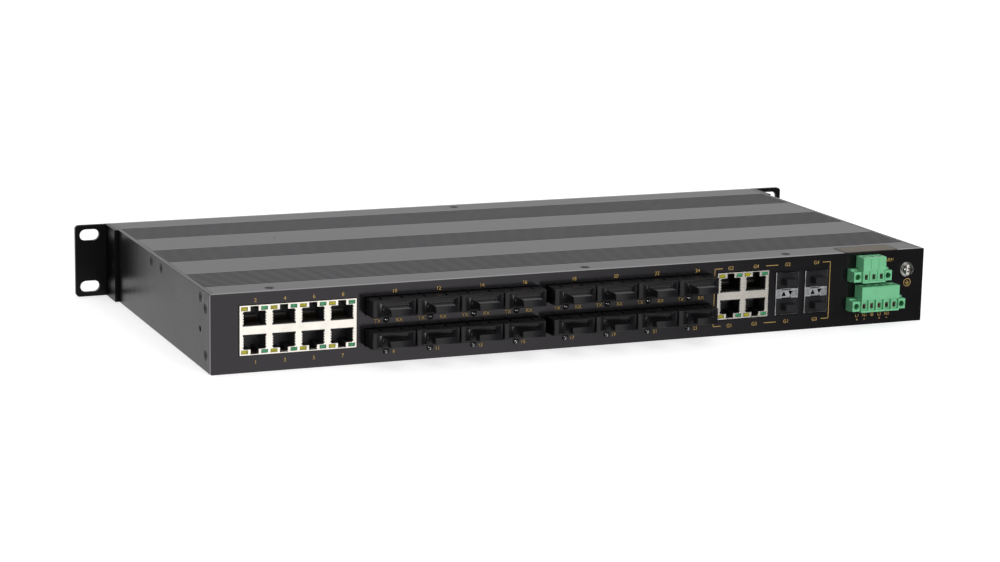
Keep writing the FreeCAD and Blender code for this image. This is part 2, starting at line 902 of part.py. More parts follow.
def build_rack_ears():
    """Bent plates: a leg on the side plate and a slotted flange across the rack post."""
    reach = cell.rack_width / 2
    for hand, (sign, direction) in SIDES.items():
        flange_back = indicator_face - cell.ear_thick
        leg_front = flange_back - cell.ear_leg + cell.ear_thick
        outer = half_width + cell.ear_thick
        outline = [
            (sign * half_width, leg_front), (sign * outer, leg_front),
            (sign * outer, flange_back), (sign * reach, flange_back),
            (sign * reach, indicator_face), (sign * half_width, indicator_face),
        ]
        body = new_body(f"{hand}_ear_blank")
        sketch = new_sketch(body, "XY", f"{hand}_ear_outline")
        draw_outline(sketch, outline)
        pad(body, sketch, f"{hand}_ear_plate", cell.case_height)
        tools = []
        for rise in (-1, 1):
            z = cell.case_height / 2 + rise * cell.slot_spacing_up / 2
            x = sign * cell.slot_spacing_across / 2
            straight = cell.slot_length / 2 - cell.slot_radius
            y_span = (flange_back - OVERRUN, indicator_face + OVERRUN)
            tools.append(block("slot", (x - straight, x + straight), y_span,
                               about(z, 2 * cell.slot_radius)))
            for end in (-1, 1):
                foot = (x + end * straight, y_span[0], z)
                tools.append(rod("slot_end", foot, "+Y", cell.slot_radius,
                                 cell.ear_thick + 2 * OVERRUN))
            corner = cell.ear_corner
            tip = cell.case_height / 2 + rise * cell.case_height / 2
            centre_x = sign * (reach - corner)
            centre_z = tip - rise * corner
            ends_x = sorted((centre_x, sign * (reach + OVERRUN)), key=lambda end: end.number)
            ends_z = sorted((centre_z, tip + rise * OVERRUN), key=lambda end: end.number)
            square = block("corner_square", ends_x, y_span, ends_z)
            keep = rod("corner_round", (centre_x, y_span[0], centre_z), "+Y", corner,
                       cell.ear_thick + 2 * OVERRUN)
            tools.append(cut("ear_corner", square, [keep]))
        tools += side_tools(sign * outer, direction, ear_screw_places(), cell.screw_length)
        sub_part(f"{hand}_rack_ear", cut(f"{hand}_rack_ear", body, tools))


# ---------------------------------------------------------------- copper sockets

def socket_opening(name, x, row, y_span):
    """The socket's mouth and its latch slot; row is +1 above the middle and -1 below."""
    z = cell.socket_mid_height + row * cell.socket_row_offset
    mouth = block(name, about(x, cell.socket_width), y_span, about(z, cell.socket_height))
    edge = z + row * cell.socket_height / 2
    ends = sorted((edge - row * OVERLAP, edge + row * cell.latch_height),
                  key=lambda end: end.number)
    latch = block(f"{name}_latch", about(x, cell.latch_width), y_span, ends)
    return [mouth, latch]


def lamp_spots(x, row):
    """The x, z and colour of a socket's two lamps."""
    z = cell.socket_mid_height + row * (cell.socket_row_offset + cell.lamp_above)
    return [(x - cell.lamp_aside, z, "yellow"), (x + cell.lamp_aside, z, "green")]


def build_copper_sockets():
    shields = []
    lamps = {"yellow": [], "green": []}
    contacts = []
    front = ahead(cell.shield_proud)
    plate_back = front + cell.shield_wall
    mid = cell.socket_mid_height
    for kind, count in SOCKET_COLUMNS.items():
        span = shield_span(kind)
        height = about(mid, cell.shield_height)
        back = front + cell.shield_depth
        shell = block(f"{kind}_shell", span, (front, back), height)
        hollow = block(f"{kind}_hollow", widened(span, -cell.shield_wall),
                       (plate_back, back - cell.shield_wall),
                       widened(height, -cell.shield_wall))
        shield_tools = [hollow]
        inserts = []
        for column in range(count):
            x = socket_x(kind, column)
            insert_span = (plate_back + INSERT_STANDOFF, back - cell.shield_wall - cell.insert_gap)
            insert = block(
                f"{kind}_insert", about(x, cell.insert_width), insert_span,
                widened(height, -cell.shield_wall - cell.insert_gap),
            )
            cavities = []
            for row in (-1, 1):
                through = (front - OVERRUN, plate_back + OVERRUN)
                shield_tools += socket_opening("mouth", x, row, through)
                depth = (plate_back - OVERRUN, plate_back + cell.socket_depth)
                cavities += socket_opening("cavity", x, row, depth)
                for lamp_x, lamp_z, colour in lamp_spots(x, row):
                    lamp_end = front + cell.lamp_depth
                    pocket_x = about(lamp_x, cell.lamp_width + FIT_GAP)
                    pocket_z = about(lamp_z, cell.lamp_height + FIT_GAP)
                    shield_tools.append(block("lamp_window", pocket_x, through, pocket_z))
                    cavities.append(block(
                        "lamp_pocket", pocket_x, (plate_back - OVERRUN, lamp_end + HAIR_GAP),
                        pocket_z,
                    ))
                    lamps[colour].append(block(
                        f"{colour}_lamp", about(lamp_x, cell.lamp_width),
                        (front - HAIR_GAP, lamp_end), about(lamp_z, cell.lamp_height),
                    ))
                contacts += socket_contacts(x, row, plate_back + cell.socket_depth)
            inserts.append(cut(f"{kind}_insert_cut", insert, cavities))
        shields.append(cut(f"{kind}_shield", shell, shield_tools))
        name = {"big": "rj45_inserts_8", "small": "rj45_inserts_4"}[kind]
        sub_part(name, group(name, inserts))
    sub_part("rj45_shields", group("rj45_shields", shields))
    sub_part("rj45_contacts", group("rj45_contacts", contacts))
    for colour, pieces in lamps.items():
        sub_part(f"rj45_{colour}_lamps", group(f"rj45_{colour}_lamps", pieces))


def socket_contacts(x, row, back):
    """Sloping spring wires on the side of the socket away from its latch slot."""
    wall = cell.socket_mid_height + row * (cell.socket_row_offset - cell.socket_height / 2)
    tilt = Rotation(Vector(1, 0, 0), row * CONTACT_TILT)
    wires = []
    for index in range(CONTACTS_PER_SOCKET):
        wire = doc.addObject("Part::Box", "contact")
        set_length(wire, "Length", cell.contact_width)
        set_length(wire, "Width", cell.contact_length)
        set_length(wire, "Height", cell.contact_thick)
        step = index - (CONTACTS_PER_SOCKET - 1) / 2
        left = x + step * cell.contact_pitch - cell.contact_width / 2
        z = wall + row * cell.contact_lift
        if row < 0:
            z = z - cell.contact_thick
        place(wire, (left, back - cell.contact_length - cell.contact_setback, z), tilt)
        wires.append(wire)
    return wires


# ---------------------------------------------------------------- fibre transceivers

def transceiver(x, z):
    """A duplex receptacle: two square ports side by side, each with a key slot above."""
    front = ahead(cell.fibre_proud)
    housing = block("transceiver", about(x, cell.fibre_width),
                    (front, front + cell.fibre_depth), about(z, cell.fibre_height))
    tools = []
    top = z + cell.fibre_height / 2
    for side in (-1, 1):
        port_x = x + side * cell.fibre_port_aside
        tools.append(block("fibre_port", about(port_x, cell.fibre_port_width),
                           (front - OVERRUN, front + cell.fibre_port_depth),
                           about(z, cell.fibre_port_height)))
        slot_front = front + cell.key_setback
        tools.append(block("key_slot", about(port_x, cell.key_width),
                           (slot_front, slot_front + cell.key_length),
                           (top - cell.key_depth, top + OVERRUN)))
    dot = (x, front + cell.key_setback + cell.key_length / 2, top + OVERRUN)
    tools.append(rod("top_dot", dot, "-Z", cell.top_dot_radius, cell.top_dot_depth + OVERRUN))
    return cut("transceiver_cut", housing, tools)


def ferrules(x, z):
    sleeves = []
    back = ahead(cell.fibre_proud) + cell.fibre_port_depth
    for side in (-1, 1):
        foot = (x + side * cell.fibre_port_aside, back - cell.ferrule_length, z)
        sleeve = rod("sleeve", foot, "+Y", cell.ferrule_radius, cell.ferrule_length)
        bore = rod("sleeve_bore", foot, "+Y", cell.ferrule_bore, cell.ferrule_length - OVERRUN)
        sleeves.append(cut("ferrule", sleeve, [bore]))
    return sleeves


def fibre_cap(name, x, z):
    """A dust cap: flange, two noses, and a flat neck with flared gussets to pull it by."""
    back = ahead(cell.fibre_proud + cell.cap_gap)
    flange_front = back - cell.cap_flange
    neck_front = ahead(cell.cap_reach)
    flare_front = flange_front - cell.cap_flare_reach
    height = cell.fibre_height - cell.cap_height_gap
    edge = cell.cap_flange / 2
    half = cell.fibre_width / 2 - edge
    pieces = [block("cap_flange", (x - half, x + half), (flange_front, back), about(z, height))]
    for side in (-1, 1):
        foot = (x + side * half, back - edge, z - height / 2)
        pieces.append(rod("cap_edge", foot, "+Z", edge, height))
        pieces.append(block(
            "cap_nose", about(x + side * cell.fibre_port_aside, cell.cap_nose_width),
            (back - edge, back + cell.cap_nose_depth), about(z, cell.cap_nose_height),
        ))
    root = about(z, cell.cap_root_height)
    neck = about(z, cell.cap_neck_height)
    width = about(x, cell.cap_root_width)
    rooted = flange_front + OVERLAP
    gussets = taper("cap_gussets", (flare_front, rooted), (width, width), (neck, root))
    scoops = []
    for side in (-1, 1):
        centre_x = x + side * (cell.cap_neck_width / 2 + cell.cap_flare_radius)
        foot = (centre_x, flare_front, z - cell.cap_root_height)
        scoops.append(rod("cap_scoop", foot, "+Z", cell.cap_flare_radius, 2 * cell.cap_root_height))
        far = (z + side * cell.cap_neck_height / 2, z + side * cell.cap_root_height)
        low, high = sorted(far, key=lambda end: end.number)
        narrow = about(x, cell.cap_neck_width - 2 * cell.cap_neck_rim)
        scoops.append(taper(
            "cap_channel", (flare_front - HAIR_GAP, flange_front),
            (narrow, about(x, cell.cap_channel_width)), ((low, high), (low, high)),
        ))
    pieces.append(cut("cap_wings", gussets, scoops))
    pieces.append(block("cap_neck", about(x, cell.cap_neck_width), (neck_front, rooted), neck))
    sub_part(name, fuse(name, pieces))


def fibre_lamp(x, z):
    """A clear round lamp lens with a domed end."""
    centre = (x, port_face, z)
    stem = rod("lamp_stem", centre, "+Y", cell.fibre_lamp_radius, cell.fibre_lamp_depth)
    return fuse("fibre_lamp", [stem, ball("lamp_dome", centre, cell.fibre_lamp_radius)])


def build_fibre_ports():
    rows = {"lower": (cell.fibre_lower, 9), "upper": (cell.fibre_upper, 10)}
    sleeves = []
    lamps = []
    for row, (z, first_number) in rows.items():
        housings = []
        for column in range(2 * FIBRE_COLUMNS):
            x = fibre_x(column)
            housings.append(transceiver(x, z))
            sleeves += ferrules(x, z)
            fibre_cap(f"fibre_cap_{first_number + 2 * column:02d}", x, z)
            lamps.append(fibre_lamp(x + cell.fibre_lamp_shift, z - cell.fibre_lamp_drop))
        name = f"fibre_transceivers_{row}"
        sub_part(name, group(name, housings))
    sub_part("fibre_ferrules", group("fibre_ferrules", sleeves))
    sub_part("fibre_lamps", group("fibre_lamps", lamps))


# ---------------------------------------------------------------- SFP cages

def triangle(name, x, z, upright, y):
    """A small triangular window through a thin sheet."""
    half = cell.arrow_width / 2
    rise = cell.arrow_height / 2
    foot, tip = (z - rise, z + rise) if upright else (z + rise, z - rise)
    body = new_body(name)
    sketch = new_sketch(body, "XZ", f"{name}_outline")
    draw_outline(sketch, [(x - half, foot), (x + half, foot), (x, tip)])
    pad(body, sketch, f"{name}_pad", 2 * OVERRUN, centred=True)
    place(body, (0, y, 0))
    return body


def build_sfp_cages():
    cages = []
    front = ahead(cell.cage_proud)
    middle = (cell.cage_low + cell.cage_high) / 2
    band = about(middle, cell.cage_band)
    wall = cell.cage_wall
    back = front + cell.cage_depth
    for column in (0, 1):
        x = cage_x(column)
        inner = about(x, cell.cage_width - 2 * wall)
        shell = block("cage", about(x, cell.cage_width), (front, back),
                      (cell.cage_low, cell.cage_high))
        tools = [
            block("cage_upper", inner, (front - OVERRUN, back - wall),
                  (band[1], cell.cage_high - wall)),
            block("cage_lower", inner, (front - OVERRUN, back - wall),
                  (cell.cage_low + wall, band[0])),
            block("cage_light_way", inner, (front + wall, back - wall), widened(band, -wall)),
            triangle("arrow_up", x - cell.arrow_aside, middle, True, front),
            triangle("arrow_down", x + cell.arrow_aside, middle, False, front),
        ]
        cages.append(cut("sfp_cage", shell, tools))
        heights = {
            f"sfp_plug_g{2 * column + 1}": (cell.cage_low + wall + band[0]) / 2,
            f"sfp_plug_g{2 * column + 2}": (band[1] + cell.cage_high - wall) / 2,
        }
        for name, z in heights.items():
            stopper = block("plug_block", about(x, cell.sfp_plug_width),
                            (front, front + cell.sfp_plug_depth), about(z, cell.sfp_plug_height))
            hollow = block(
                "plug_hollow", about(x, cell.sfp_plug_width - 2 * cell.sfp_plug_wall),
                (front + cell.sfp_plug_face, front + cell.sfp_plug_depth + OVERRUN),
                about(z, cell.sfp_plug_height - 2 * cell.sfp_plug_wall),
            )
            grip = block("plug_grip", about(x, cell.sfp_grip_width),
                         (front - cell.sfp_grip_reach, front + OVERLAP),
                         about(z, cell.sfp_grip_height))
            sub_part(name, fuse(name, [cut("plug_shell", stopper, [hollow]), grip]))
    sub_part("sfp_cages", group("sfp_cages", cages))


# ---------------------------------------------------------------- terminal blocks

def way_x(middle, ways, index):
    return middle + (index - (ways - 1) / 2) * cell.way_pitch


def build_terminals():
    headers = []
    pins = []
    for kind, (ways, middle, low, high) in TERMINALS.items():
        half = terminal_half(ways)
        core = ways * cell.way_pitch / 2
        header_front = ahead(cell.header_proud)
        header_top = low + cell.header_height
        shell = block(f"{kind}_header", (middle - half, middle + half),
                      (header_front, behind(cell.header_back)), (low, header_top))
        floor = header_front + cell.nose_length + cell.plug_gap
        cavity = block(f"{kind}_cavity", widened((middle - core, middle + core), -cell.header_side),
                       (header_front - OVERRUN, floor),
                       widened((low, header_top), -cell.header_wall))
        pin_z = low + cell.header_height / 2
        ear_z = pin_z - cell.plug_ear_drop
        ear_x = [middle + side * (core + cell.way_pitch / 2) for side in (-1, 1)]
        tapped = [
            rod("tapped", (x, header_front - OVERRUN, ear_z), "+Y", cell.header_tap_radius,
                cell.header_tap_depth + OVERRUN)
            for x in ear_x
        ]
        headers.append(cut(f"{kind}_header_cut", shell, [cavity] + tapped))
        for index in range(ways):
            pins.append(block(
                "pin", about(way_x(middle, ways, index), cell.pin_side),
                (floor - cell.pin_length, floor), about(pin_z, cell.pin_side),
            ))
        build_terminal_plug(kind, ways, middle, low, high, ear_x, ear_z)
    sub_part("terminal_headers", group("terminal_headers", headers))
    sub_part("header_pins", group("header_pins", pins))


def build_terminal_plug(kind, ways, middle, low, high, ear_x, ear_z):
    """The pull-off half: body, flange ears, wire entries, clamp holes and clamp screws."""
    core = ways * cell.way_pitch / 2
    front = ahead(cell.plug_reach)
    seat = ahead(cell.header_proud + cell.plug_gap)
    over_header = low + cell.header_height + cell.plug_gap
    panel_gap = ahead(cell.plug_panel_gap)
    bevel = cell.plug_bevel
    pin_z = low + cell.header_height / 2
    body = new_body(f"{kind}_plug_core")
    sketch = new_sketch(body, "YZ", f"{kind}_plug_side")
    draw_outline(sketch, [
        (front, low), (seat, low), (seat, over_header), (panel_gap, over_header),
        (panel_gap, high), (front + bevel, high), (front, high - bevel),
    ])
    pad(body, sketch, f"{kind}_plug_width", 2 * core, centred=True)
    place(body, (middle, 0, 0))
    nose_gap = cell.header_wall + cell.plug_gap
    nose = block(f"{kind}_nose", widened((middle - core, middle + core), -cell.plug_nose_side),
                 (seat - OVERLAP, seat + cell.nose_length),
                 (low + nose_gap, low + cell.header_height - nose_gap))
    ears = [
        block(f"{kind}_ear", about(x, cell.way_pitch), (ahead(cell.ear_reach), seat),
              about(ear_z, cell.plug_ear_height))
        for x in ear_x
    ]
    tools = [
        rod("ear_hole", (x, ahead(cell.ear_reach) - OVERRUN, ear_z), "+Y", cell.plug_ear_hole,
            cell.plug_ear_hole_depth + OVERRUN)
        for x in ear_x
    ]
    screws = []
    entry_low = low + cell.entry_rise
    for index in range(ways):
        x = way_x(middle, ways, index)
        tools.append(block("wire_entry", about(x, cell.entry_width),
                           (front - OVERRUN, front + cell.entry_depth),
                           (entry_low, entry_low + cell.entry_height)))
        tools.append(block("face_recess", about(x, cell.recess_width),
                           (front - OVERRUN, front + cell.recess_depth),
                           (low + cell.recess_rise,
                            low + cell.header_height - cell.recess_top_gap)))
        way_side = cell.pin_side + 2 * cell.pin_way_gap
        tools.append(block("pin_way", about(x, way_side),
                           (seat + HAIR_GAP, seat + cell.nose_length + OVERRUN),
                           about(pin_z, way_side)))
        mouth_y = (front + panel_gap) / 2 + cell.clamp_shift
        tools.append(rod("clamp_hole", (x, mouth_y, high + OVERRUN), "-Z",
                         cell.clamp_hole_radius, cell.clamp_hole_depth + OVERRUN))
        floor = high - cell.clamp_hole_depth
        head = rod("clamp_screw", (x, mouth_y, floor), "+Z",
                   cell.clamp_screw_radius, cell.clamp_screw_length)
        slot_top = floor + cell.clamp_screw_length
        slot = block("clamp_slot", widened(about(x, 2 * cell.clamp_screw_radius), OVERRUN),
                     about(mouth_y, cell.clamp_slot_width),
                     (slot_top - cell.screw_slot_depth, slot_top + OVERRUN))
        screws.append(cut(f"{kind}_clamp_screw", head, [slot]))
    solid = fuse(f"{kind}_plug_solid", [body, nose] + ears)
    sub_part(f"{kind}_plug", cut(f"{kind}_plug", solid, tools))
    sub_part(f"{kind}_plug_screws", group(f"{kind}_plug_screws", screws))


# ---------------------------------------------------------------- ground screw

def build_ground_screw():
    x = cell.ground_x
    z = cell.ground_height
    washer_front = ahead(cell.ground_washer_thick)
    spring_front = washer_front - cell.ground_spring_thick
    head_front = spring_front - cell.ground_head_height
    bore = cell.ground_shank_radius + cell.screw_gap
    washers = []
    for foot, radius, thick in (
        (washer_front, cell.ground_washer_radius, cell.ground_washer_thick),
        (spring_front, cell.ground_spring_radius, cell.ground_spring_thick),
    ):
        disc = rod("washer", (x, foot, z), "+Y", radius, thick)
        hole = rod("washer_hole", (x, foot - OVERRUN, z), "+Y", bore, thick + 2 * OVERRUN)
        washers.append(cut("ground_washer", disc, [hole]))
    sub_part("ground_washers", group("ground_washers", washers))
    rim = rod("ground_rim", (x, spring_front, z), "-Y", cell.ground_head_radius,
              cell.ground_head_height / 2)
    crown = cone("ground_crown", (x, spring_front - cell.ground_head_height / 2, z), "-Y",
                 cell.ground_head_radius, cell.ground_head_radius * GROUND_CROWN_TAPER,
                 cell.ground_head_height / 2)
    shank = rod("ground_shank", (x, spring_front, z), "+Y", cell.ground_shank_radius,
                cell.ground_shank_length + cell.ground_washer_thick + cell.ground_spring_thick)
    depth = (head_front - OVERRUN, head_front + cell.ground_cross_depth)
    sides = (cell.ground_cross_length, cell.ground_cross_width)
    arms = [
        block("ground_cross", about(x, across), depth, about(z, up))
        for across, up in (sides, sides[::-1])
    ]
    screw = cut("ground_screw", fuse("ground_solid", [rim, crown, shank]), arms)
    sub_part("ground_screw", screw)


# ---------------------------------------------------------------- boards and what is on them

def board(name, x_span, y_span, top, hole_places):
    body = new_body(f"{name}_blank")
    sketch = new_sketch(body, "XY", f"{name}_outline")
    draw_rectangle(sketch, x_span, y_span)
    for place_x, place_y in hole_places:
        draw_circle(sketch, (place_x, place_y), cell.screw_radius + FIT_GAP)
    pad(body, sketch, f"{name}_sheet", cell.board_thick)
    place(body, (0, 0, top - cell.board_thick))
    return sub_part(name, body)


def build_boards():
    half = cell.board_width / 2
    front = behind(cell.board_front)
    low_places = [(x, behind(depth)) for depth in STANDOFF_ROWS for x in STANDOFF_COLUMNS]
    high_places = [(x, behind(RISER_STANDOFF_BACK)) for x in RISER_STANDOFFS]
    board("main_board", (-half, half), (front, front + cell.board_depth), cell.board_top,
          low_places)
    board("riser_board", (cell.riser_left, cell.riser_right), (front, front + cell.riser_depth),
          cell.riser_top, high_places)
    posts = []
    screws = []
    under = cell.board_top - cell.board_thick
    riser_under = cell.riser_top - cell.board_thick
    sets = (
        (low_places, cell.bottom_thick, under, cell.board_top),
        (high_places, cell.board_top, riser_under, cell.riser_top),
    )
    for places, foot, top, head in sets:
        for x, y in places:
            post = rod("post", (x, y, foot), "+Z", cell.standoff_radius, top - foot)
            tap = rod("post_tap", (x, y, top - cell.standoff_tap), "+Z",
                      cell.screw_radius + cell.screw_gap, cell.standoff_tap + OVERRUN)
            posts.append(cut("standoff", post, [tap]))
            shank_foot = top - cell.board_screw_reach
            shank = rod("board_shank", (x, y, shank_foot), "+Z", cell.screw_radius,
                        head - shank_foot + HAIR_GAP)
            crown = rod("board_crown", (x, y, head), "+Z", cell.board_screw_radius,
                        cell.board_screw_height)
            slot_top = head + cell.board_screw_height
            slot = block("board_slot", widened(about(x, 2 * cell.board_screw_radius), OVERRUN),
                         about(y, cell.board_screw_slot),
                         (slot_top - cell.screw_slot_depth, slot_top + OVERRUN))
            screws.append(cut("board_screw", fuse("board_screw_solid", [shank, crown]), [slot]))
    sub_part("board_standoffs", group("board_standoffs", posts))
    sub_part("board_screws", group("board_screws", screws))


def build_board_parts():
    """The switching chip with its heat block, the two supply converters and the lamp board."""
    top = cell.board_top
    chip_y = behind(cell.chip_back)
    chip_top = top + cell.chip_height
    sub_part("switch_chip", block("switch_chip", about(cell.chip_x, cell.chip_side),
                                  about(chip_y, cell.chip_side), (top, chip_top)))
    rib_foot = cell.case_height - cell.cover_thick - cell.screw_rib_drop
    sub_part("heat_block", block("heat_block", about(cell.chip_x, cell.heat_block_side),
                                 about(chip_y, cell.heat_block_side), (chip_top, rib_foot)))
    converters = []
    for index in (0, 1):
        y = behind(cell.converter_back + index * cell.converter_pitch)
        converters.append(block("converter", about(cell.converter_x, cell.converter_width),
                                about(y, cell.converter_depth),
                                (top + cell.converter_lift, top + cell.converter_height)))
    sub_part("power_converters", group("power_converters", converters))
    lamp_back = indicator_back - cell.indicator_board_gap
    sub_part("indicator_board", block(
        "indicator_board", about(as_size(0), cell.indicator_pitch * (INDICATOR_COLUMNS + 1)),
        (lamp_back - cell.board_thick, lamp_back),
        (cell.board_top + cell.indicator_board_lift, cell.flange_low - cell.indicator_board_drop),
    ))
    lamps = []
    for x, z in indicator_places():
        foot = (x, lamp_back, z)
        length = cell.indicator_board_gap + cell.panel_thick
        lamps.append(rod("indicator", foot, "+Y", cell.indicator_radius, length))
    sub_part("indicator_lamps", group("indicator_lamps", lamps))


def build_label():
    front = behind(cell.label_front)
    top = cell.case_height
    sub_part("blank_label", block("blank_label", about(cell.label_mid, cell.label_width),
                                  (front, front + cell.label_depth),
                                  (top, top + cell.label_thick)))


def check_and_export():
    doc.recompute()
    for thing in doc.Objects:
        faults = [word for word in thing.State if word in ("Invalid", "Error")]
        if faults:
            message = f"{thing.Name} ({thing.Label}) is {faults}: {thing.getStatusString()}"
            raise RuntimeError(message)
    for thing in parts:
        if thing.Shape.isNull() or not thing.Shape.isValid():
            raise RuntimeError(f"{thing.Label} has no valid shape")
        if not thing.Shape.Solids:
            raise RuntimeError(f"{thing.Label} holds no solid")
    os.makedirs("parts", exist_ok=True)
    for thing in parts:
        thing.Shape.exportStep(f"parts/{thing.Label}.step")
        box = thing.Shape.BoundBox
        print(f"{thing.Label:28s} solids {len(thing.Shape.Solids):3d} volume {thing.Shape.Volume:10.1f}"
              f" x {box.XMin:8.2f} {box.XMax:8.2f} y {box.YMin:8.2f} {box.YMax:8.2f}"
              f" z {box.ZMin:6.2f} {box.ZMax:6.2f}")
    print(len(parts), "sub-parts")


build_screws()
build_top_cover()
build_bottom_cover()
build_side_plates()
build_corner_blocks()
build_panels()
build_rack_ears()
build_copper_sockets()
build_fibre_ports()
build_sfp_cages()
build_terminals()
build_ground_screw()
build_boards()
build_board_parts()
build_label()
check_and_export()
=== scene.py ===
"""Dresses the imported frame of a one-unit rack switch: finishes, rounded edges, caps, screws, print."""

import json
import math

import bmesh
import bpy
from bpy.props import FloatProperty, FloatVectorProperty, IntProperty, PointerProperty
from mathutils import Matrix, Vector

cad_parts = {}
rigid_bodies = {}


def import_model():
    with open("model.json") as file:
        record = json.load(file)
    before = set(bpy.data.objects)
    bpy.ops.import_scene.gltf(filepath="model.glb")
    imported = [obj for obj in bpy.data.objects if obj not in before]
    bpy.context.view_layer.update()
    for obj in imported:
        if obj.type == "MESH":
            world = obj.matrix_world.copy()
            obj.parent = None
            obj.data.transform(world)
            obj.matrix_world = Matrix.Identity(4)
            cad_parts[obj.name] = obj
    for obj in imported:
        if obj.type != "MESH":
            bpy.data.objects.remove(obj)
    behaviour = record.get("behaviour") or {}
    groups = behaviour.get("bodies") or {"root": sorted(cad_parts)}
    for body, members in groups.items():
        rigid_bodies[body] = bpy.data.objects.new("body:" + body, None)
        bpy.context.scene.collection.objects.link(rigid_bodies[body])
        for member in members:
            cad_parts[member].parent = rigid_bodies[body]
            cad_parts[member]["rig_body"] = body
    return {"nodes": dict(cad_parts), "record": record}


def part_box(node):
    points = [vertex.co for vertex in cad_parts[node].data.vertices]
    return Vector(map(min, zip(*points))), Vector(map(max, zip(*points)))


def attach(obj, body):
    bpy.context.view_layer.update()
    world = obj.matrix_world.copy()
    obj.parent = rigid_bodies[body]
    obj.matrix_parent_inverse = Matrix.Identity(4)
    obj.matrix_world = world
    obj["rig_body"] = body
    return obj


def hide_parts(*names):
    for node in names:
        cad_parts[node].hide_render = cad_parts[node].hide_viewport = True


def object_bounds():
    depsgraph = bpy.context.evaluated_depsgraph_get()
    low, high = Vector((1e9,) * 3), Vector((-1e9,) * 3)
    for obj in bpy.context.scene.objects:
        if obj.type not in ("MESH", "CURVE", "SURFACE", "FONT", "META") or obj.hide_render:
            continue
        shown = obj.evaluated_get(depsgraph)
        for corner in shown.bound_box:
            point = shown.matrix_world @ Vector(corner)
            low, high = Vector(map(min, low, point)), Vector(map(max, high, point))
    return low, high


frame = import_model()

bl_info = {
    "name": "Rack Switch",
    "version": (1, 0, 0),
    "blender": (4, 5, 0),
    "location": "View3D > Sidebar > Rack Switch",
    "description": "Finishes and dresses a one-unit rack switch around its frame",
    "category": "Object",
}

CAD_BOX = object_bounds()
NODES = frame["nodes"]
RECORD = frame["record"]

MM = 0.001
MERGE = 0.002 * MM
SKIN = 0.02 * MM
FLAT_TURN = math.radians(0.4)
SHARP_TURN = math.radians(32)
UPRIGHT = Matrix.Rotation(math.radians(90), 4, "X")

PORT_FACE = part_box("port_panel")[0].y
CASE_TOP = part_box("port_panel")[1].z
FIRST_FIBRE, LAST_FIBRE = 9, 24
SOCKET_BOXES = {
    opening["name"].replace("copper_socket_", ""): opening["box_m"]
    for opening in RECORD["physics"]["openings"]
    if opening["name"].startswith("copper_socket_")
}
NODE_SLOTS = {part["node"]: part["material_slot"] for part in RECORD["subparts"]}


# ---------------------------------------------------------------- node graphs

class Link:
    """A node's output; arithmetic on it adds Math nodes to the same graph."""

    def __init__(self, graph, socket):
        self.graph = graph
        self.socket = socket

    def math(self, operation, first, second):
        return self.graph.node("ShaderNodeMath", {"operation": operation}, {0: first, 1: second})[0]

    def __add__(self, other):
        return self.math("ADD", self, other)

    def __radd__(self, other):
        return self.math("ADD", other, self)

    def __sub__(self, other):
        return self.math("SUBTRACT", self, other)

    def __rsub__(self, other):
        return self.math("SUBTRACT", other, self)

    def __mul__(self, other):
        return self.math("MULTIPLY", self, other)

    def __rmul__(self, other):
        return self.math("MULTIPLY", other, self)


class Made:
    """A node whose outputs are read by name or index."""

    def __init__(self, graph, node):
        self.graph = graph
        self.node = node

    def __getitem__(self, key):
        return Link(self.graph, find_socket(self.node.outputs, key))


def find_socket(sockets, key):
    if isinstance(key, int):
        return sockets[key]
    for socket in sockets:
        if socket.identifier == key:
            return socket
    return sockets[key]


class Graph:
    """Makes the nodes of one tree."""

    def __init__(self, tree):
        self.tree = tree

    def node(self, kind, settings=None, values=None):
        node = self.tree.nodes.new(kind)
        for name, value in (settings or {}).items():
            setattr(node, name, value)
        for key, value in (values or {}).items():
            socket = find_socket(node.inputs, key)
            if isinstance(value, Link):
                self.tree.links.new(value.socket, socket)
            else:
                socket.default_value = value
        return Made(self, node)

    def ease(self, value, low, high):
        """0 below low, 1 above high, and smooth between."""
        return self.node(
            "ShaderNodeMapRange", {"interpolation_type": "SMOOTHSTEP"},
            {"Value": value, "From Min": low, "From Max": high},
        )["Result"]


def rgba(colour):
    return (*colour[:3], 1.0)


def shaded(colour, factor):
    """A colour made lighter or darker by a factor."""
    return tuple(min(1.0, channel * factor) for channel in colour[:3])


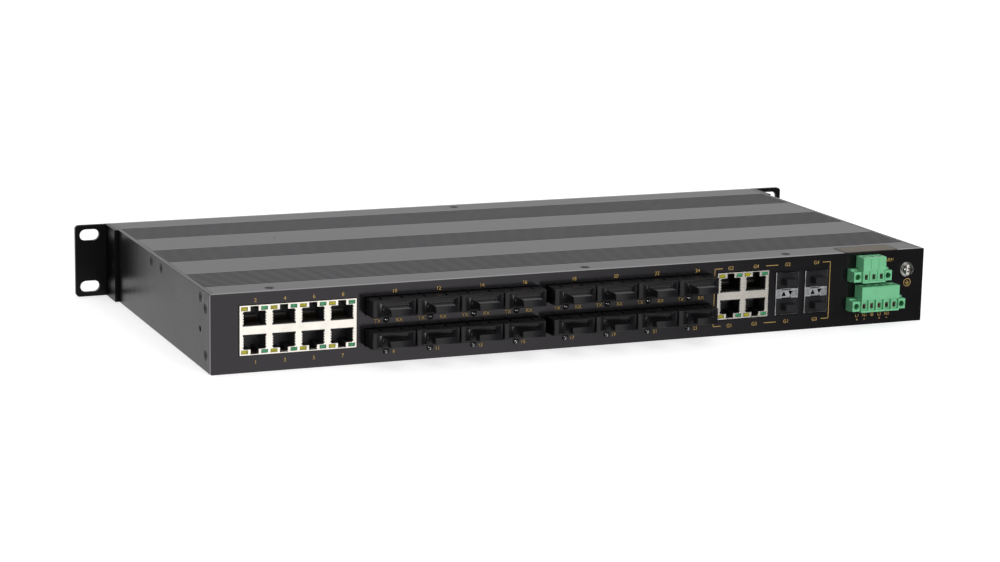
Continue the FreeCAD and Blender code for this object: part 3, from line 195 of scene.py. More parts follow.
class Finish(Graph):
    """One material: patterns on the piece's own coordinates, then a surface shader."""

    def __init__(self, name):
        self.material = bpy.data.materials.new(name)
        self.material.use_nodes = True
        self.material.node_tree.nodes.clear()
        super().__init__(self.material.node_tree)
        self.place = self.node("ShaderNodeTexCoord")["Object"]

    def scaled(self, scale):
        """The piece's own coordinates, times a scale."""
        values = {"Vector": self.place, "Scale": scale}
        return self.node("ShaderNodeMapping", None, values)["Vector"]

    def noise(self, size, stretch=(1, 1, 1), detail=2.0):
        """Soft random values; size is the length of one feature, in metres."""
        mapped = self.scaled([1 / (size * part) for part in stretch])
        return self.node(
            "ShaderNodeTexNoise", None,
            {"Vector": mapped, "Scale": 1.0, "Detail": detail, "Roughness": 0.5},
        )["Fac"]

    def cells(self, size):
        """The distance to the nearest of many scattered points."""
        mapped = self.scaled([1 / size] * 3)
        return self.node(
            "ShaderNodeTexVoronoi", None, {"Vector": mapped, "Scale": 1.0},
        )["Distance"]

    def blend(self, factor, first, second):
        """A colour between two others."""
        return self.node(
            "ShaderNodeMix", {"data_type": "RGBA"},
            {"Factor_Float": factor, "A_Color": as_colour(first), "B_Color": as_colour(second)},
        )["Result_Color"]

    def surface(self, colour, roughness, height=None, depth=0.0, constants=None):
        """The surface shader; height is in units of depth, a length in metres."""
        values = {"Base Color": colour, "Roughness": roughness}
        if height is not None:
            values["Normal"] = self.node(
                "ShaderNodeBump", None, {"Height": height, "Strength": 1.0, "Distance": depth},
            )["Normal"]
        values.update(constants or {})
        shader = self.node("ShaderNodeBsdfPrincipled", None, values)["BSDF"]
        self.node("ShaderNodeOutputMaterial", None, {"Surface": shader})
        return self.material


def as_colour(value):
    return value if isinstance(value, Link) else rgba(value)


# ---------------------------------------------------------------- finishes

SHEEN_TINT = (1.0, 0.94, 1.0)
FLOOR_GLOW = 0.65


def powder_coat(name, colour, roughness, specular, grain=0.45 * MM, depth=0.004 * MM):
    """Baked powder paint: a fine orange peel with slight changes of shade and gloss."""
    finish = Finish(name)
    peel = finish.noise(grain, detail=1.0)
    speck = finish.noise(0.12 * MM, detail=1.0)
    cloud = finish.noise(38 * MM, detail=3.0)
    shade = finish.blend(
        finish.ease(cloud, 0.3, 0.7), shaded(colour, 0.86), shaded(colour, 1.14),
    )
    shade = finish.blend(finish.ease(speck, 0.58, 0.8) * 0.35, shade, shaded(colour, 1.9))
    gloss = roughness - 0.05 + cloud * 0.07 + speck * 0.05
    height = peel + speck * 0.4
    values = {"Specular IOR Level": specular, "Specular Tint": rgba(SHEEN_TINT)}
    return finish.surface(shade, gloss, height, depth, values)


def brushed_anodised(name, colour, roughness, specular):
    """Black anodised extrusion: faint drawn lines along its length, with a dusty sheen."""
    finish = Finish(name)
    drawn = finish.noise(0.16 * MM, stretch=(420, 1, 1), detail=2.0)
    speck = finish.noise(0.1 * MM, detail=1.0)
    cloud = finish.noise(60 * MM, stretch=(2.5, 1, 1), detail=3.0)
    shade = finish.blend(
        finish.ease(cloud, 0.25, 0.75), shaded(colour, 0.9), shaded(colour, 1.1),
    )
    shade = finish.blend(finish.ease(drawn, 0.45, 0.75) * 0.4, shade, shaded(colour, 1.45))
    gloss = roughness - 0.06 + drawn * 0.09 + speck * 0.05
    height = drawn + speck * 0.6
    values = {"Specular IOR Level": specular, "Specular Tint": rgba(SHEEN_TINT)}
    return finish.surface(shade, gloss, height, 0.003 * MM, values)


def moulded_plastic(name, colour, roughness, specular=0.5, spread=0.12, constants=None):
    """Injection-moulded plastic: a spark-eroded grain and soft flow marks."""
    finish = Finish(name)
    grain = finish.noise(0.22 * MM, detail=2.0)
    flow = finish.noise(9 * MM, stretch=(1, 1, 0.6), detail=2.0)
    shade = finish.blend(
        finish.ease(flow, 0.3, 0.7), shaded(colour, 1 - spread), shaded(colour, 1 + spread),
    )
    gloss = roughness - 0.05 + flow * 0.06 + grain * 0.05
    values = {"Specular IOR Level": specular}
    values.update(constants or {})
    return finish.surface(shade, gloss, grain, 0.004 * MM, values)


def rolled_metal(name, colour, roughness, along=(40, 1, 1), wear=0.2):
    """Plated or bare sheet with rolling lines and faint stains."""
    finish = Finish(name)
    lines = finish.noise(0.12 * MM, stretch=along, detail=2.0)
    stain = finish.noise(6 * MM, detail=3.0)
    shade = finish.blend(finish.ease(stain, 0.35, 0.75), colour, shaded(colour, 1 - wear))
    gloss = roughness - 0.06 + lines * 0.1 + stain * 0.05
    return finish.surface(shade, gloss, lines, 0.002 * MM, {"Metallic": 1.0})


def lens(name, colour, roughness, glow, constants=None):
    """A tinted clear lens in random paler and darker clouds, with a painted glow of its own colour,
    though no lamp lights it.
    """
    finish = Finish(name)
    cloud = finish.noise(1.4 * MM, detail=1.0)
    shade = finish.blend(finish.ease(cloud, 0.35, 0.65), shaded(colour, 0.8), shaded(colour, 1.25))
    values = {
        "Specular IOR Level": 0.25,
        "Coat Weight": 0.1,
        "Coat Roughness": 0.05,
        # Painted light: the emission makes the unlit lens glow in its own colour.
        "Emission Color": rgba(colour),
        "Emission Strength": glow,
    }
    values.update(constants or {})
    return finish.surface(shade, roughness + cloud * 0.05, None, 0.0, values)


def circuit_board(name, colour):
    """Solder mask over copper: fine traces show as paler lines and dots."""
    finish = Finish(name)
    traces = finish.noise(1.1 * MM, stretch=(14, 1, 1), detail=0.0)
    across = finish.noise(1.3 * MM, stretch=(1, 14, 1), detail=0.0)
    vias = 1 - finish.ease(finish.cells(4.5 * MM), 0.08, 0.16)
    copper = finish.ease(traces, 0.56, 0.58) * 0.5 + finish.ease(across, 0.56, 0.58) * 0.5
    shade = finish.blend(copper * 0.5, colour, shaded(colour, 2.0))
    shade = finish.blend(vias, shade, (0.55, 0.5, 0.35))
    return finish.surface(shade, 0.32 + traces * 0.1, copper, 0.03 * MM)


def wire_clamp(name):
    """Tinned brass, darkened to brown with painted shade, as it looks down a wire entry."""
    return rolled_metal(name, (0.21, 0.14, 0.11), 0.35, (1, 1, 12), 0.4)


def film_label(name, colour):
    """A printed film with a faint woven haze and a satin face."""
    finish = Finish(name)
    haze = finish.noise(2.2 * MM, detail=3.0)
    speck = finish.noise(0.15 * MM, detail=1.0)
    shade = finish.blend(haze, shaded(colour, 0.85), shaded(colour, 1.2))
    return finish.surface(
        shade, 0.46 + speck * 0.12, speck, 0.003 * MM, {"Specular IOR Level": 0.14},
    )


def printed_ink(name, colour):
    """Screen-printed ink, slightly uneven in cover."""
    finish = Finish(name)
    cover = finish.noise(0.3 * MM, detail=2.0)
    shade = finish.blend(finish.ease(cover, 0.3, 0.7), shaded(colour, 0.8), shaded(colour, 1.15))
    return finish.surface(shade, 0.5 + cover * 0.1, cover, 0.004 * MM)


def floor_paper(name, colour):
    finish = Finish(name)
    fibre = finish.noise(1.5 * MM, detail=2.0)
    shade = finish.blend(fibre, shaded(colour, 0.985), colour)
    return finish.surface(
        shade, 0.9, None, 0.0,
        {
            "Specular IOR Level": 0.1, "Emission Color": rgba((1, 1, 1)),
            "Emission Strength": FLOOR_GLOW,
        },
    )


def make_finishes(colours):
    """The material of every record slot, by the slot's name."""
    black = colours.panel_black
    return {
        "black_extrusion": brushed_anodised("black extrusion", colours.top_black, 0.4, 0.68),
        # Painted shade: this coat is the panel powder coat darkened to six tenths, so the rack ears look
        # as dark as they do in their shade.
        "black_steel": powder_coat("black steel", shaded(black, 0.6), 0.35, 0.12),
        "black_plate": powder_coat("black plate", colours.side_black, 0.27, 0.12),
        "black_panel": powder_coat("black panel", black, 0.17, 0.44),
        "black_screw": powder_coat("black screw", shaded(black, 0.8), 0.42, 0.12, 0.3 * MM),
        "plain_aluminium": rolled_metal("plain aluminium", (0.72, 0.73, 0.75), 0.38),
        "circuit_board": circuit_board("circuit board", (0.02, 0.09, 0.035)),
        "plain_brass": rolled_metal("plain brass", (0.78, 0.58, 0.26), 0.3),
        "bright_steel": rolled_metal("bright steel", colours.screw_steel, 0.2, (3, 3, 1), 0.25),
        "nickel_shield": rolled_metal("nickel shield", colours.shield_nickel, 0.24, (60, 1, 1), 0.08),
        "socket_plastic": moulded_plastic("socket plastic", (0.012, 0.012, 0.013), 0.4),
        "gold_contact": rolled_metal("gold contact", (0.3, 0.21, 0.1), 0.3, (1, 30, 1)),
        # Painted light: the last number of each lens is the strength of its painted glow.
        "yellow_lens": lens("yellow lens", colours.yellow_lamp, 0.22, 0.05),
        "green_lens": lens("green lens", colours.green_lamp, 0.22, 0.05),
        "cage_steel": rolled_metal("cage steel", (0.6, 0.61, 0.63), 0.34, (30, 1, 1), 0.45),
        "transceiver_plastic": moulded_plastic("transceiver plastic", colours.cap_black, 0.34, 0.26),
        "white_ceramic": moulded_plastic("white ceramic", (0.8, 0.8, 0.76), 0.25),
        "clear_lens": lens(
            "clear lens", (0.022, 0.02, 0.02), 0.06, 0.0, {"Coat Weight": 1.0, "Coat IOR": 2.2},
        ),
        "green_plastic": moulded_plastic("green plastic", colours.terminal_green, 0.42, 0.45, 0.05),
        "tinned_pin": rolled_metal("tinned pin", (0.75, 0.74, 0.72), 0.3),
        "clamp_steel": rolled_metal("clamp steel", (0.5, 0.47, 0.44), 0.35),
        "chip_package": moulded_plastic("chip package", (0.02, 0.02, 0.021), 0.55),
        "converter_case": powder_coat("converter case", (0.03, 0.03, 0.032), 0.5, 0.4),
        "indicator_lens": lens("indicator lens", (0.5, 0.56, 0.5), 0.25, 0.02),
        "label_film": film_label("label film", colours.label_film),
        "cap_plastic": moulded_plastic("cap plastic", colours.cap_black, 0.3, 0.26, 0.08),
        "sfp_plug_rubber": moulded_plastic("plug rubber", colours.plug_grey, 0.6, 0.3, 0.08),
    }


FINISHES = {}


def finish_of(slot):
    return FINISHES[slot]


# ---------------------------------------------------------------- making pieces

def keep_piece(piece, body, replaced=()):
    """Hangs a finished piece on its body and hides the frame nodes it stands for."""
    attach(piece, body)
    if replaced:
        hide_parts(*replaced)
    return piece


def keep_finished(piece, node):
    """Lets a finished piece stand for a frame node, on that node's body."""
    return keep_piece(piece, NODES[node]["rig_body"], [node])


def new_object(name, mesh, slot=None):
    piece = bpy.data.objects.new(name, mesh)
    bpy.context.scene.collection.objects.link(piece)
    if slot:
        mesh.materials.clear()
        mesh.materials.append(finish_of(slot))
    return piece


def scratch_object(mesh):
    return new_object("scratch", mesh)


def drop(piece):
    bpy.data.objects.remove(piece)


def opened(mesh):
    """A bmesh with the content of a mesh."""
    shape = bmesh.new()
    shape.from_mesh(mesh)
    return shape


def mesh_of(shape, name):
    """A mesh from a bmesh, which is freed."""
    mesh = bpy.data.meshes.new(name)
    shape.to_mesh(mesh)
    shape.free()
    return mesh


def settle(piece):
    """Applies a piece's modifiers, so that it is one plain mesh."""
    graph = bpy.context.evaluated_depsgraph_get()
    mesh = bpy.data.meshes.new_from_object(piece.evaluated_get(graph), depsgraph=graph)
    piece.modifiers.clear()
    piece.data = mesh
    return piece


def smooth(mesh, turn=SHARP_TURN):
    mesh.shade_smooth()
    mesh.set_sharp_from_angle(angle=turn)


def is_sharp(edge, shortest):
    return (
        edge.is_manifold and edge.calc_face_angle() > SHARP_TURN
        and edge.calc_length() > shortest
    )


def round_edges(piece, width, segments=2, shortest=0.0):
    """Rounds the sharp edges longer than a length, and evens the shading of the flats."""
    shape = opened(piece.data)
    edges = [edge for edge in shape.edges if is_sharp(edge, shortest)]
    bmesh.ops.bevel(
        shape, geom=edges, offset=width, segments=segments, profile=0.5, affect="EDGES",
        clamp_overlap=shortest == 0,
    )
    shape.to_mesh(piece.data)
    shape.free()
    smooth(piece.data)
    evened = piece.modifiers.new("even_shading", "WEIGHTED_NORMAL")
    evened.keep_sharp = True
    return settle(piece)


def round_upright_edges(piece, width, segments):
    """Rounds only the edges that run along Z."""
    shape = opened(piece.data)
    upright = [
        edge for edge in shape.edges
        if abs(edge.verts[0].co.z - edge.verts[1].co.z) > SKIN
    ]
    bmesh.ops.bevel(
        shape, geom=upright, offset=width, segments=segments, profile=0.5, affect="EDGES",
    )
    shape.to_mesh(piece.data)
    shape.free()


def merged_copy(node):
    """A frame node's mesh with its loose triangles joined into clean flat faces."""
    shape = opened(NODES[node].data)
    bmesh.ops.remove_doubles(shape, verts=shape.verts, dist=MERGE)
    bmesh.ops.dissolve_limit(
        shape, angle_limit=FLAT_TURN, verts=shape.verts, edges=shape.edges,
        delimit={"NORMAL"},
    )
    bmesh.ops.triangulate(shape, faces=shape.faces[:])
    bmesh.ops.join_triangles(
        shape, faces=shape.faces[:], angle_face_threshold=FLAT_TURN,
        angle_shape_threshold=math.pi,
    )
    return mesh_of(shape, f"{node}_finished")


def softened(node, width, segments=2, shortest=0.0):
    """Stands for a frame node: the same shape with its edges rounded."""
    piece = new_object(f"{node}_finished", merged_copy(node), NODE_SLOTS[node])
    round_edges(piece, width, segments, shortest)
    return keep_finished(piece, node)


def cut_copy(node, cutters, rounding):
    """Stands for a frame node: the same shape less some cutters, with its edges rounded."""
    solid = combine(scratch_object(merged_copy(node)), cutters, "DIFFERENCE")
    piece = new_object(f"{node}_finished", solid.data.copy(), NODE_SLOTS[node])
    drop(solid)
    round_edges(piece, rounding)
    return keep_finished(piece, node)


def paint(node):
    """Gives a frame node the material of its slot."""
    materials = NODES[node].data.materials
    materials.clear()
    materials.append(finish_of(NODE_SLOTS[node]))


def middle_of(node):
    low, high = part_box(node)
    return (low + high) / 2


def box_between(shape, low, high):
    """Adds a closed box to a bmesh."""
    low, high = Vector(low), Vector(high)
    for vertex in bmesh.ops.create_cube(shape, size=1.0)["verts"]:
        vertex.co = Vector(
            (low[axis] + high[axis]) / 2 + vertex.co[axis] * (high[axis] - low[axis])
            for axis in range(3)
        )


def box_mesh(name, low, high):
    shape = bmesh.new()
    box_between(shape, low, high)
    return mesh_of(shape, name)


def scratch_box(name, low, high):
    return scratch_object(box_mesh(name, low, high))


def join_rings(shape, rings):
    """Joins rings of vertices with quads."""
    for near, far in zip(rings, rings[1:]):
        for index, vertex in enumerate(near):
            following = (index + 1) % len(near)
            shape.faces.new((vertex, near[following], far[following], far[index]))


def solid_through(name, rings, looped=False):
    """A closed mesh through rings of points, capped at its ends or joined in a loop."""
    shape = bmesh.new()
    loops = [[shape.verts.new(point) for point in ring] for ring in rings]
    join_rings(shape, [*loops, loops[0]] if looped else loops)
    if not looped:
        shape.faces.new(list(reversed(loops[0])))
        shape.faces.new(loops[-1])
    bmesh.ops.recalc_face_normals(shape, faces=shape.faces)
    return mesh_of(shape, name)


def section_loft(name, sections):
    """A closed solid through rectangles; each is y, x span and z span."""
    return scratch_object(solid_through(name, [
        [(x, y, z) for x, z in ((left, low), (left, high), (right, high), (right, low))]
        for y, (left, right), (low, high) in sections
    ]))


def circle_points(radius, y, steps):
    """Points round the Y axis."""
    angles = [2 * math.pi * step / steps for step in range(steps)]
    return [(radius * math.cos(angle), y, radius * math.sin(angle)) for angle in angles]


def turned(name, profile, steps):
    """A solid of revolution about Y from (radius, y) points that start and end on the axis."""
    shape = bmesh.new()
    rings = [
        [shape.verts.new(point) for point in circle_points(radius, y, steps)]
        for radius, y in profile[1:-1]
    ]
    join_rings(shape, rings)
    for ring, (radius, y) in ((rings[0], profile[0]), (rings[-1], profile[-1])):
        pole = shape.verts.new((0, y, 0))
        for index, vertex in enumerate(ring):
            shape.faces.new((vertex, ring[(index + 1) % steps], pole))
    bmesh.ops.recalc_face_normals(shape, faces=shape.faces)
    return mesh_of(shape, name)


def quarter_turn(steps):
    """The angles of a quarter turn, without its start."""
    return [math.pi / 2 * step / steps for step in range(1, steps + 1)]


def combine(base, others, operation="UNION"):
    """Joins solids into one closed mesh, or cuts them from the first, and drops the others."""
    for other in others:
        joiner = base.modifiers.new("join", "BOOLEAN")
        joiner.operation = operation
        joiner.solver = "EXACT"
        joiner.object = other
        settle(base)
        drop(other)
    return base


# ---------------------------------------------------------------- geometry node groups

def new_group(name, inputs):
    """An empty geometry group with named inputs: its graph and its input node."""
    tree = bpy.data.node_groups.new(name, "GeometryNodeTree")
    tree.interface.new_socket("Geometry", in_out="INPUT", socket_type="NodeSocketGeometry")
    for label, kind in inputs:
        tree.interface.new_socket(label, in_out="INPUT", socket_type=f"NodeSocket{kind}")
    tree.interface.new_socket("Geometry", in_out="OUTPUT", socket_type="NodeSocketGeometry")
    graph = Graph(tree)
    return graph, graph.node("NodeGroupInput")


def set_on(graph, points, instance, **values):
    """Puts a shape on every point."""
    inputs = {"Points": points, "Instance": instance, **values}
    return graph.node("GeometryNodeInstanceOnPoints", None, inputs)["Instances"]


def end_group(graph, geometry, material):
    """Realizes the instances, sets their material and joins the result to the output."""
    real = graph.node("GeometryNodeRealizeInstances", None, {"Geometry": geometry})["Geometry"]
    painted = graph.node(
        "GeometryNodeSetMaterial", None, {"Geometry": real, "Material": material},
    )["Geometry"]
    graph.node("NodeGroupOutput", None, {"Geometry": painted})
    return graph.tree


def scatter_group():
    """Sets one shape on every point, turned to the point's own direction and spin."""
    graph, given = new_group("set_on_points", (
        ("Shape", "Object"), ("Size", "Float"), ("Material", "Material"),
    ))
    shape = graph.node("GeometryNodeObjectInfo", None, {"Object": given["Shape"]})["Geometry"]
    out, side = (
        graph.node(
            "GeometryNodeInputNamedAttribute", {"data_type": "FLOAT_VECTOR"}, {"Name": label},
        )["Attribute"]
        for label in ("out", "side")
    )
    turn = graph.node(
        "FunctionNodeAxesToRotation", {"primary_axis": "Z", "secondary_axis": "X"},
        {"Primary Axis": out, "Secondary Axis": side},
    )["Rotation"]
    placed = set_on(graph, given["Geometry"], shape, Rotation=turn, Scale=given["Size"])
    return end_group(graph, placed, given["Material"])


def row_group():
    """Repeats one shape along a line from every point."""
    graph, given = new_group("row_from_points", (
        ("Shape", "Object"), ("Count", "Int"), ("Pitch", "Vector"), ("Material", "Material"),
    ))
    shape = graph.node("GeometryNodeObjectInfo", None, {"Object": given["Shape"]})["Geometry"]
    line = graph.node(
        "GeometryNodeMeshLine", None, {"Count": given["Count"], "Offset": given["Pitch"]},
    )["Mesh"]
    rows = set_on(graph, given["Geometry"], set_on(graph, line, shape))
    return end_group(graph, rows, given["Material"])


def run_group(name, points, tree, inputs, directions=()):
    """Evaluates a geometry group on a cloud of points into a plain mesh."""
    cloud = bpy.data.meshes.new(name)
    cloud.from_pydata([tuple(point) for point in points], [], [])
    if directions:
        for index, label in enumerate(("out", "side")):
            attribute = cloud.attributes.new(label, "FLOAT_VECTOR", "POINT")
            for point, pair in enumerate(directions):
                attribute.data[point].vector = pair[index]
    piece = new_object(name, cloud)
    modifier = piece.modifiers.new("build", "NODES")
    modifier.node_group = tree
    for item in tree.interface.items_tree:
        if item.item_type == "SOCKET" and item.in_out == "INPUT" and item.name in inputs:
            modifier[item.identifier] = inputs[item.name]
    return settle(piece)


def rows_of(shape, name, points, tree, count, pitch, material):
    """One mesh of a shape repeated in a row from every point."""
    inputs = {"Shape": shape, "Count": count, "Pitch": pitch, "Material": material}
    return run_group(name, points, tree, inputs)


# ---------------------------------------------------------------- the settings

def colour_setting(name, description, default):
    return FloatVectorProperty(
        name=name, description=description, subtype="COLOR", default=default, min=0, max=1,
    )


def length_setting(name, description, default):
    return FloatProperty(
        name=name, description=description, default=default, min=0, unit="LENGTH",
    )


class SwitchColours(bpy.types.PropertyGroup):
    """Colours of the finishes."""

    panel_black: colour_setting(
        "Panel black", "Powder coat of the port face and the ears", (0.0036, 0.0033, 0.0038),
    )
    side_black: colour_setting(
        "Side black", "Powder coat of the side plates", (0.0075, 0.007, 0.0078),
    )
    top_black: colour_setting(
        "Top black", "Anodised finish of the grooved top", (0.021, 0.0203, 0.0217),
    )
    cap_black: colour_setting(
        "Cap black", "Plastic of the dust caps and transceivers", (0.0075, 0.0073, 0.0085),
    )
    plug_grey: colour_setting(
        "Plug grey", "Rubber of the plugs in the cages", (0.011, 0.011, 0.0125),
    )
    shield_nickel: colour_setting(
        "Shield nickel", "Plating round the copper sockets", (0.86, 0.815, 0.74),
    )
    screw_steel: colour_setting(
        "Screw steel", "Plating of the earth screw", (0.62, 0.6, 0.57),
    )
    terminal_green: colour_setting(
        "Terminal green", "Plastic of the terminal blocks", (0.147, 0.45, 0.235),
    )
    yellow_lamp: colour_setting(
        "Yellow lamp", "Lens of the left lamp of each copper socket", (0.27, 0.245, 0.01),
    )
    green_lamp: colour_setting(
        "Green lamp", "Lens of the right lamp of each copper socket", (0.035, 0.19, 0.085),
    )
    print_gold: colour_setting("Print gold", "Ink of the legend", (0.36, 0.235, 0.07))
    label_film: colour_setting(
        "Label film", "Blank film label on the top", (0.115, 0.096, 0.07),
    )
    floor_white: colour_setting("Floor white", "Pale floor under the object", (0.6, 0.6, 0.6))


class SwitchSizes(bpy.types.PropertyGroup):
    """Sizes that the frame doesn't hold."""

    edge_round: length_setting(
        "Edge rounding", "Rounding of the sheet metal edges", 0.18 * MM,
    )
    plastic_round: length_setting(
        "Plastic rounding", "Rounding of the moulded edges", 0.22 * MM,
    )
    letter_height: length_setting(
        "Letter height", "Height of the printed capitals", 2.1 * MM,
    )
    line_width: length_setting("Line width", "Width of the printed frame lines", 0.42 * MM)
    screw_steps: IntProperty(
        name="Screw steps", description="Sides of a turned screw head", default=32, min=12,
    )
    camera_lens: FloatProperty(
        name="Lens", description="Focal length on a 36 mm wide frame",
        default=92.53, min=1, subtype="DISTANCE_CAMERA",
    )


# ---------------------------------------------------------------- case

SHEET_NODES = (
    "top_cover", "bottom_cover", "left_side_plate", "right_side_plate", "port_panel",
    "indicator_panel", "left_rack_ear", "right_rack_ear",
)
INNER_NODES = (
    "corner_blocks", "main_board", "riser_board", "indicator_board", "board_standoffs",
    "board_screws", "switch_chip", "heat_block", "power_converters", "fibre_ferrules",
    "rj45_contacts", "header_pins", "indicator_lamps",
)
LONG_EDGE = 2.5 * MM

SCREW_HEAD_RADIUS = 2.8 * MM
SCREW_HEAD_DEPTH = 1.5 * MM
SCREW_SHANK_RADIUS = 1.45 * MM
SCREW_RIM = 0.12 * MM
SCREW_TIP = -6.5 * MM
SCREW_POINT = 0.6 * MM
SCREW_POINT_RADIUS = 0.6 * SCREW_SHANK_RADIUS
SCREW_THREAD = 0.16 * MM
SCREW_TURNS = 9
SCREW_RECESS = (1.55 * MM, 0.32 * MM, 1.0 * MM)
SCREW_FIT = 0.93
SCREW_SINK = 0.18 * MM
SPIN_START = 0.5
SPIN_STEP = 2.4
RECESS_RISE = 0.3 * MM
RECESS_MOUTH = 1.05
RECESS_TIP = 0.55


class SWITCH_OT_case(bpy.types.Operator):
    """Make the covers, plates, panels and rack ears with rounded edges"""

    bl_idname = "rack_switch.case"
    bl_label = "Case"

    def execute(self, context):
        for node in SHEET_NODES:
            softened(node, context.scene.rack_switch_sizes.edge_round, shortest=LONG_EDGE)
        return {"FINISHED"}


class SWITCH_OT_inner_parts(bpy.types.Operator):
    """Paint the frame parts that sit inside the case"""

    bl_idname = "rack_switch.inner_parts"
    bl_label = "Inner parts"

    def execute(self, context):
        for node in INNER_NODES:
            paint(node)
        return {"FINISHED"}


def node_islands(node):
    """The bounding boxes of the separate solids in a frame node."""
    shape = opened(NODES[node].data)
    bmesh.ops.remove_doubles(shape, verts=shape.verts, dist=MERGE)
    waiting = set(shape.verts)
    boxes = []
    while waiting:
        front = [waiting.pop()]
        found = list(front)
        while front:
            vertex = front.pop()
            for edge in vertex.link_edges:
                other = edge.other_vert(vertex)
                if other in waiting:
                    waiting.remove(other)
                    front.append(other)
                    found.append(other)
        low = Vector(min(vertex.co[axis] for vertex in found) for axis in range(3))
        high = Vector(max(vertex.co[axis] for vertex in found) for axis in range(3))
        boxes.append((low, high))
    shape.free()
    return sorted(boxes, key=lambda box: tuple(round(value, 5) for value in box[0]))


def cross_recess(half_length, half_width, depth):
    """A tapered cross-shaped cutter that points down from the plane z = 0."""
    arms = []
    for half_x, half_y in ((half_length, half_width), (half_width, half_length)):
        rings = []
        for z, grow in ((RECESS_RISE, RECESS_MOUTH), (-depth, RECESS_TIP)):
            x, y = half_x * grow, half_y * grow
            rings.append(((-x, -y, z), (x, -y, z), (x, y, z), (-x, y, z)))
        arms.append(scratch_object(solid_through("cross_recess", rings)))
    return combine(arms[0], arms[1:])


def countersunk_screw(steps):
    """A countersunk screw with a cross recess; its face is the plane z = 0."""
    profile = [
        (SCREW_HEAD_RADIUS - 2 * SCREW_RIM, 0),
        (SCREW_HEAD_RADIUS - SCREW_RIM / 2, -SCREW_RIM / 3),
        (SCREW_HEAD_RADIUS - SCREW_RIM / 3, -SCREW_RIM),
        (SCREW_SHANK_RADIUS, -SCREW_HEAD_DEPTH),
    ]
    pitch = (SCREW_TIP + SCREW_HEAD_DEPTH + SCREW_POINT) / SCREW_TURNS
    for turn in range(SCREW_TURNS):
        z = (turn + 0.5) * pitch - SCREW_HEAD_DEPTH
        profile += [(SCREW_SHANK_RADIUS - SCREW_THREAD, z), (SCREW_SHANK_RADIUS, z + pitch / 2)]
    profile.append((SCREW_POINT_RADIUS, SCREW_TIP))
    mesh = solid_through(
        "countersunk_screw", [circle_points(radius, z, steps) for radius, z in profile],
    )
    mesh.transform(UPRIGHT)
    screw = combine(scratch_object(mesh), [cross_recess(*SCREW_RECESS)], "DIFFERENCE")
    smooth(screw.data)
    return screw


def screw_places(node):
    """The head centre and outward direction of each screw in a frame node."""
    places = []
    for low, high in node_islands(node):
        size = high - low
        head = (low + high) / 2
        axis = 0 if size.x > size.y else 2
        outwards = head.x > 0 if axis == 0 else head.z > CASE_TOP / 2
        out = Vector((0, 0, 0))
        out[axis] = 1 if outwards else -1
        head[axis] = high[axis] if outwards else low[axis]
        places.append((head, out))
    return places


class SWITCH_OT_case_screws(bpy.types.Operator):
    """Set the countersunk screws in the case and the rack ears"""

    bl_idname = "rack_switch.case_screws"
    bl_label = "Case screws"

    def execute(self, context):
        screw = countersunk_screw(context.scene.rack_switch_sizes.screw_steps)
        tree = scatter_group()
        for node in ("case_screws", "rack_ear_screws"):
            places = screw_places(node)
            directions = []
            for index, (point, out) in enumerate(places):
                spin = Matrix.Rotation(SPIN_START + SPIN_STEP * index, 3, out)
                directions.append((out, spin @ out.cross(Vector((0, 1, 0)))))
            piece = run_group(
                f"{node}_set", [point - out * SCREW_SINK for point, out in places], tree,
                {"Shape": screw, "Size": SCREW_FIT, "Material": finish_of(NODE_SLOTS[node])},
                directions,
            )
            keep_finished(piece, node)
        drop(screw)
        return {"FINISHED"}


# ---------------------------------------------------------------- copper sockets

OPENING_HALF_WIDTH = 6.6 * MM
OPENING_SPAN = (2.25 * MM, 9.9 * MM)
OPENING_DEPTH = 0.5 * MM
SHIELD_PROUD = 0.4 * MM
SHIELD_ROUND = 0.08 * MM
INSERT_ROUND = 0.12 * MM
SOCKET_LAMP_ROUND = 0.45 * MM

FINGER_COUNT = 4
FINGER_PITCH = 1.45 * MM
FINGER_OFFSET = 6.27 * MM
FINGER_WIDTH = 1.05 * MM
FINGER_TAPER = 0.7
FINGER_BULGE = 0.55 * MM
FINGER_ROOT = 0.05 * MM
FINGER_LENGTH = 1.1 * MM
FINGER_OUTLINE = ((0, 0.8), (0.12, 0.95), (0.3, 1), (0.5, 0.9), (0.75, 0.5), (1, 0.1))

COMB_TEETH = 9
COMB_SETBACK = 1.2 * MM
COMB_OFFSET = 5.62 * MM
COMB_HALF = 0.6 * MM
COMB_END = 0.3 * MM
TOOTH_HALF = Vector((0.24 * MM, 0.35 * MM, 0.5 * MM))
TOOTH_DROP = 1.0 * MM
CONTACT_PITCH = 1.02 * MM


def socket_mouths():
    """Each socket's name, middle x, middle z of its pair and which way its latch slot points."""
    mouths = []
    for node, names in (("rj45_inserts_8", "12345678"), ("rj45_inserts_4", ("g1", "g2", "g3", "g4"))):
        middle = middle_of(node).z
        for name in names:
            low, high = SOCKET_BOXES[name]
            row = 1 if (low[2] + high[2]) / 2 > middle else -1
            mouths.append((name, (low[0] + high[0]) / 2, middle, row))
    return mouths


def finger_mesh(side):
    """A spring tab whose bulge shows past the socket's edge; it starts at the front plane."""
    half = FINGER_WIDTH / 2
    rings = []
    for share, bulge in FINGER_OUTLINE:
        y = share * FINGER_LENGTH
        inner = side * bulge * FINGER_BULGE
        outer = -side * FINGER_ROOT
        rings.append((
            (outer, y, -half), (outer, y, half),
            (inner, y, half * FINGER_TAPER), (inner, y, -half * FINGER_TAPER),
        ))
    mesh = solid_through("spring_tab", rings)
    smooth(mesh)
    return mesh


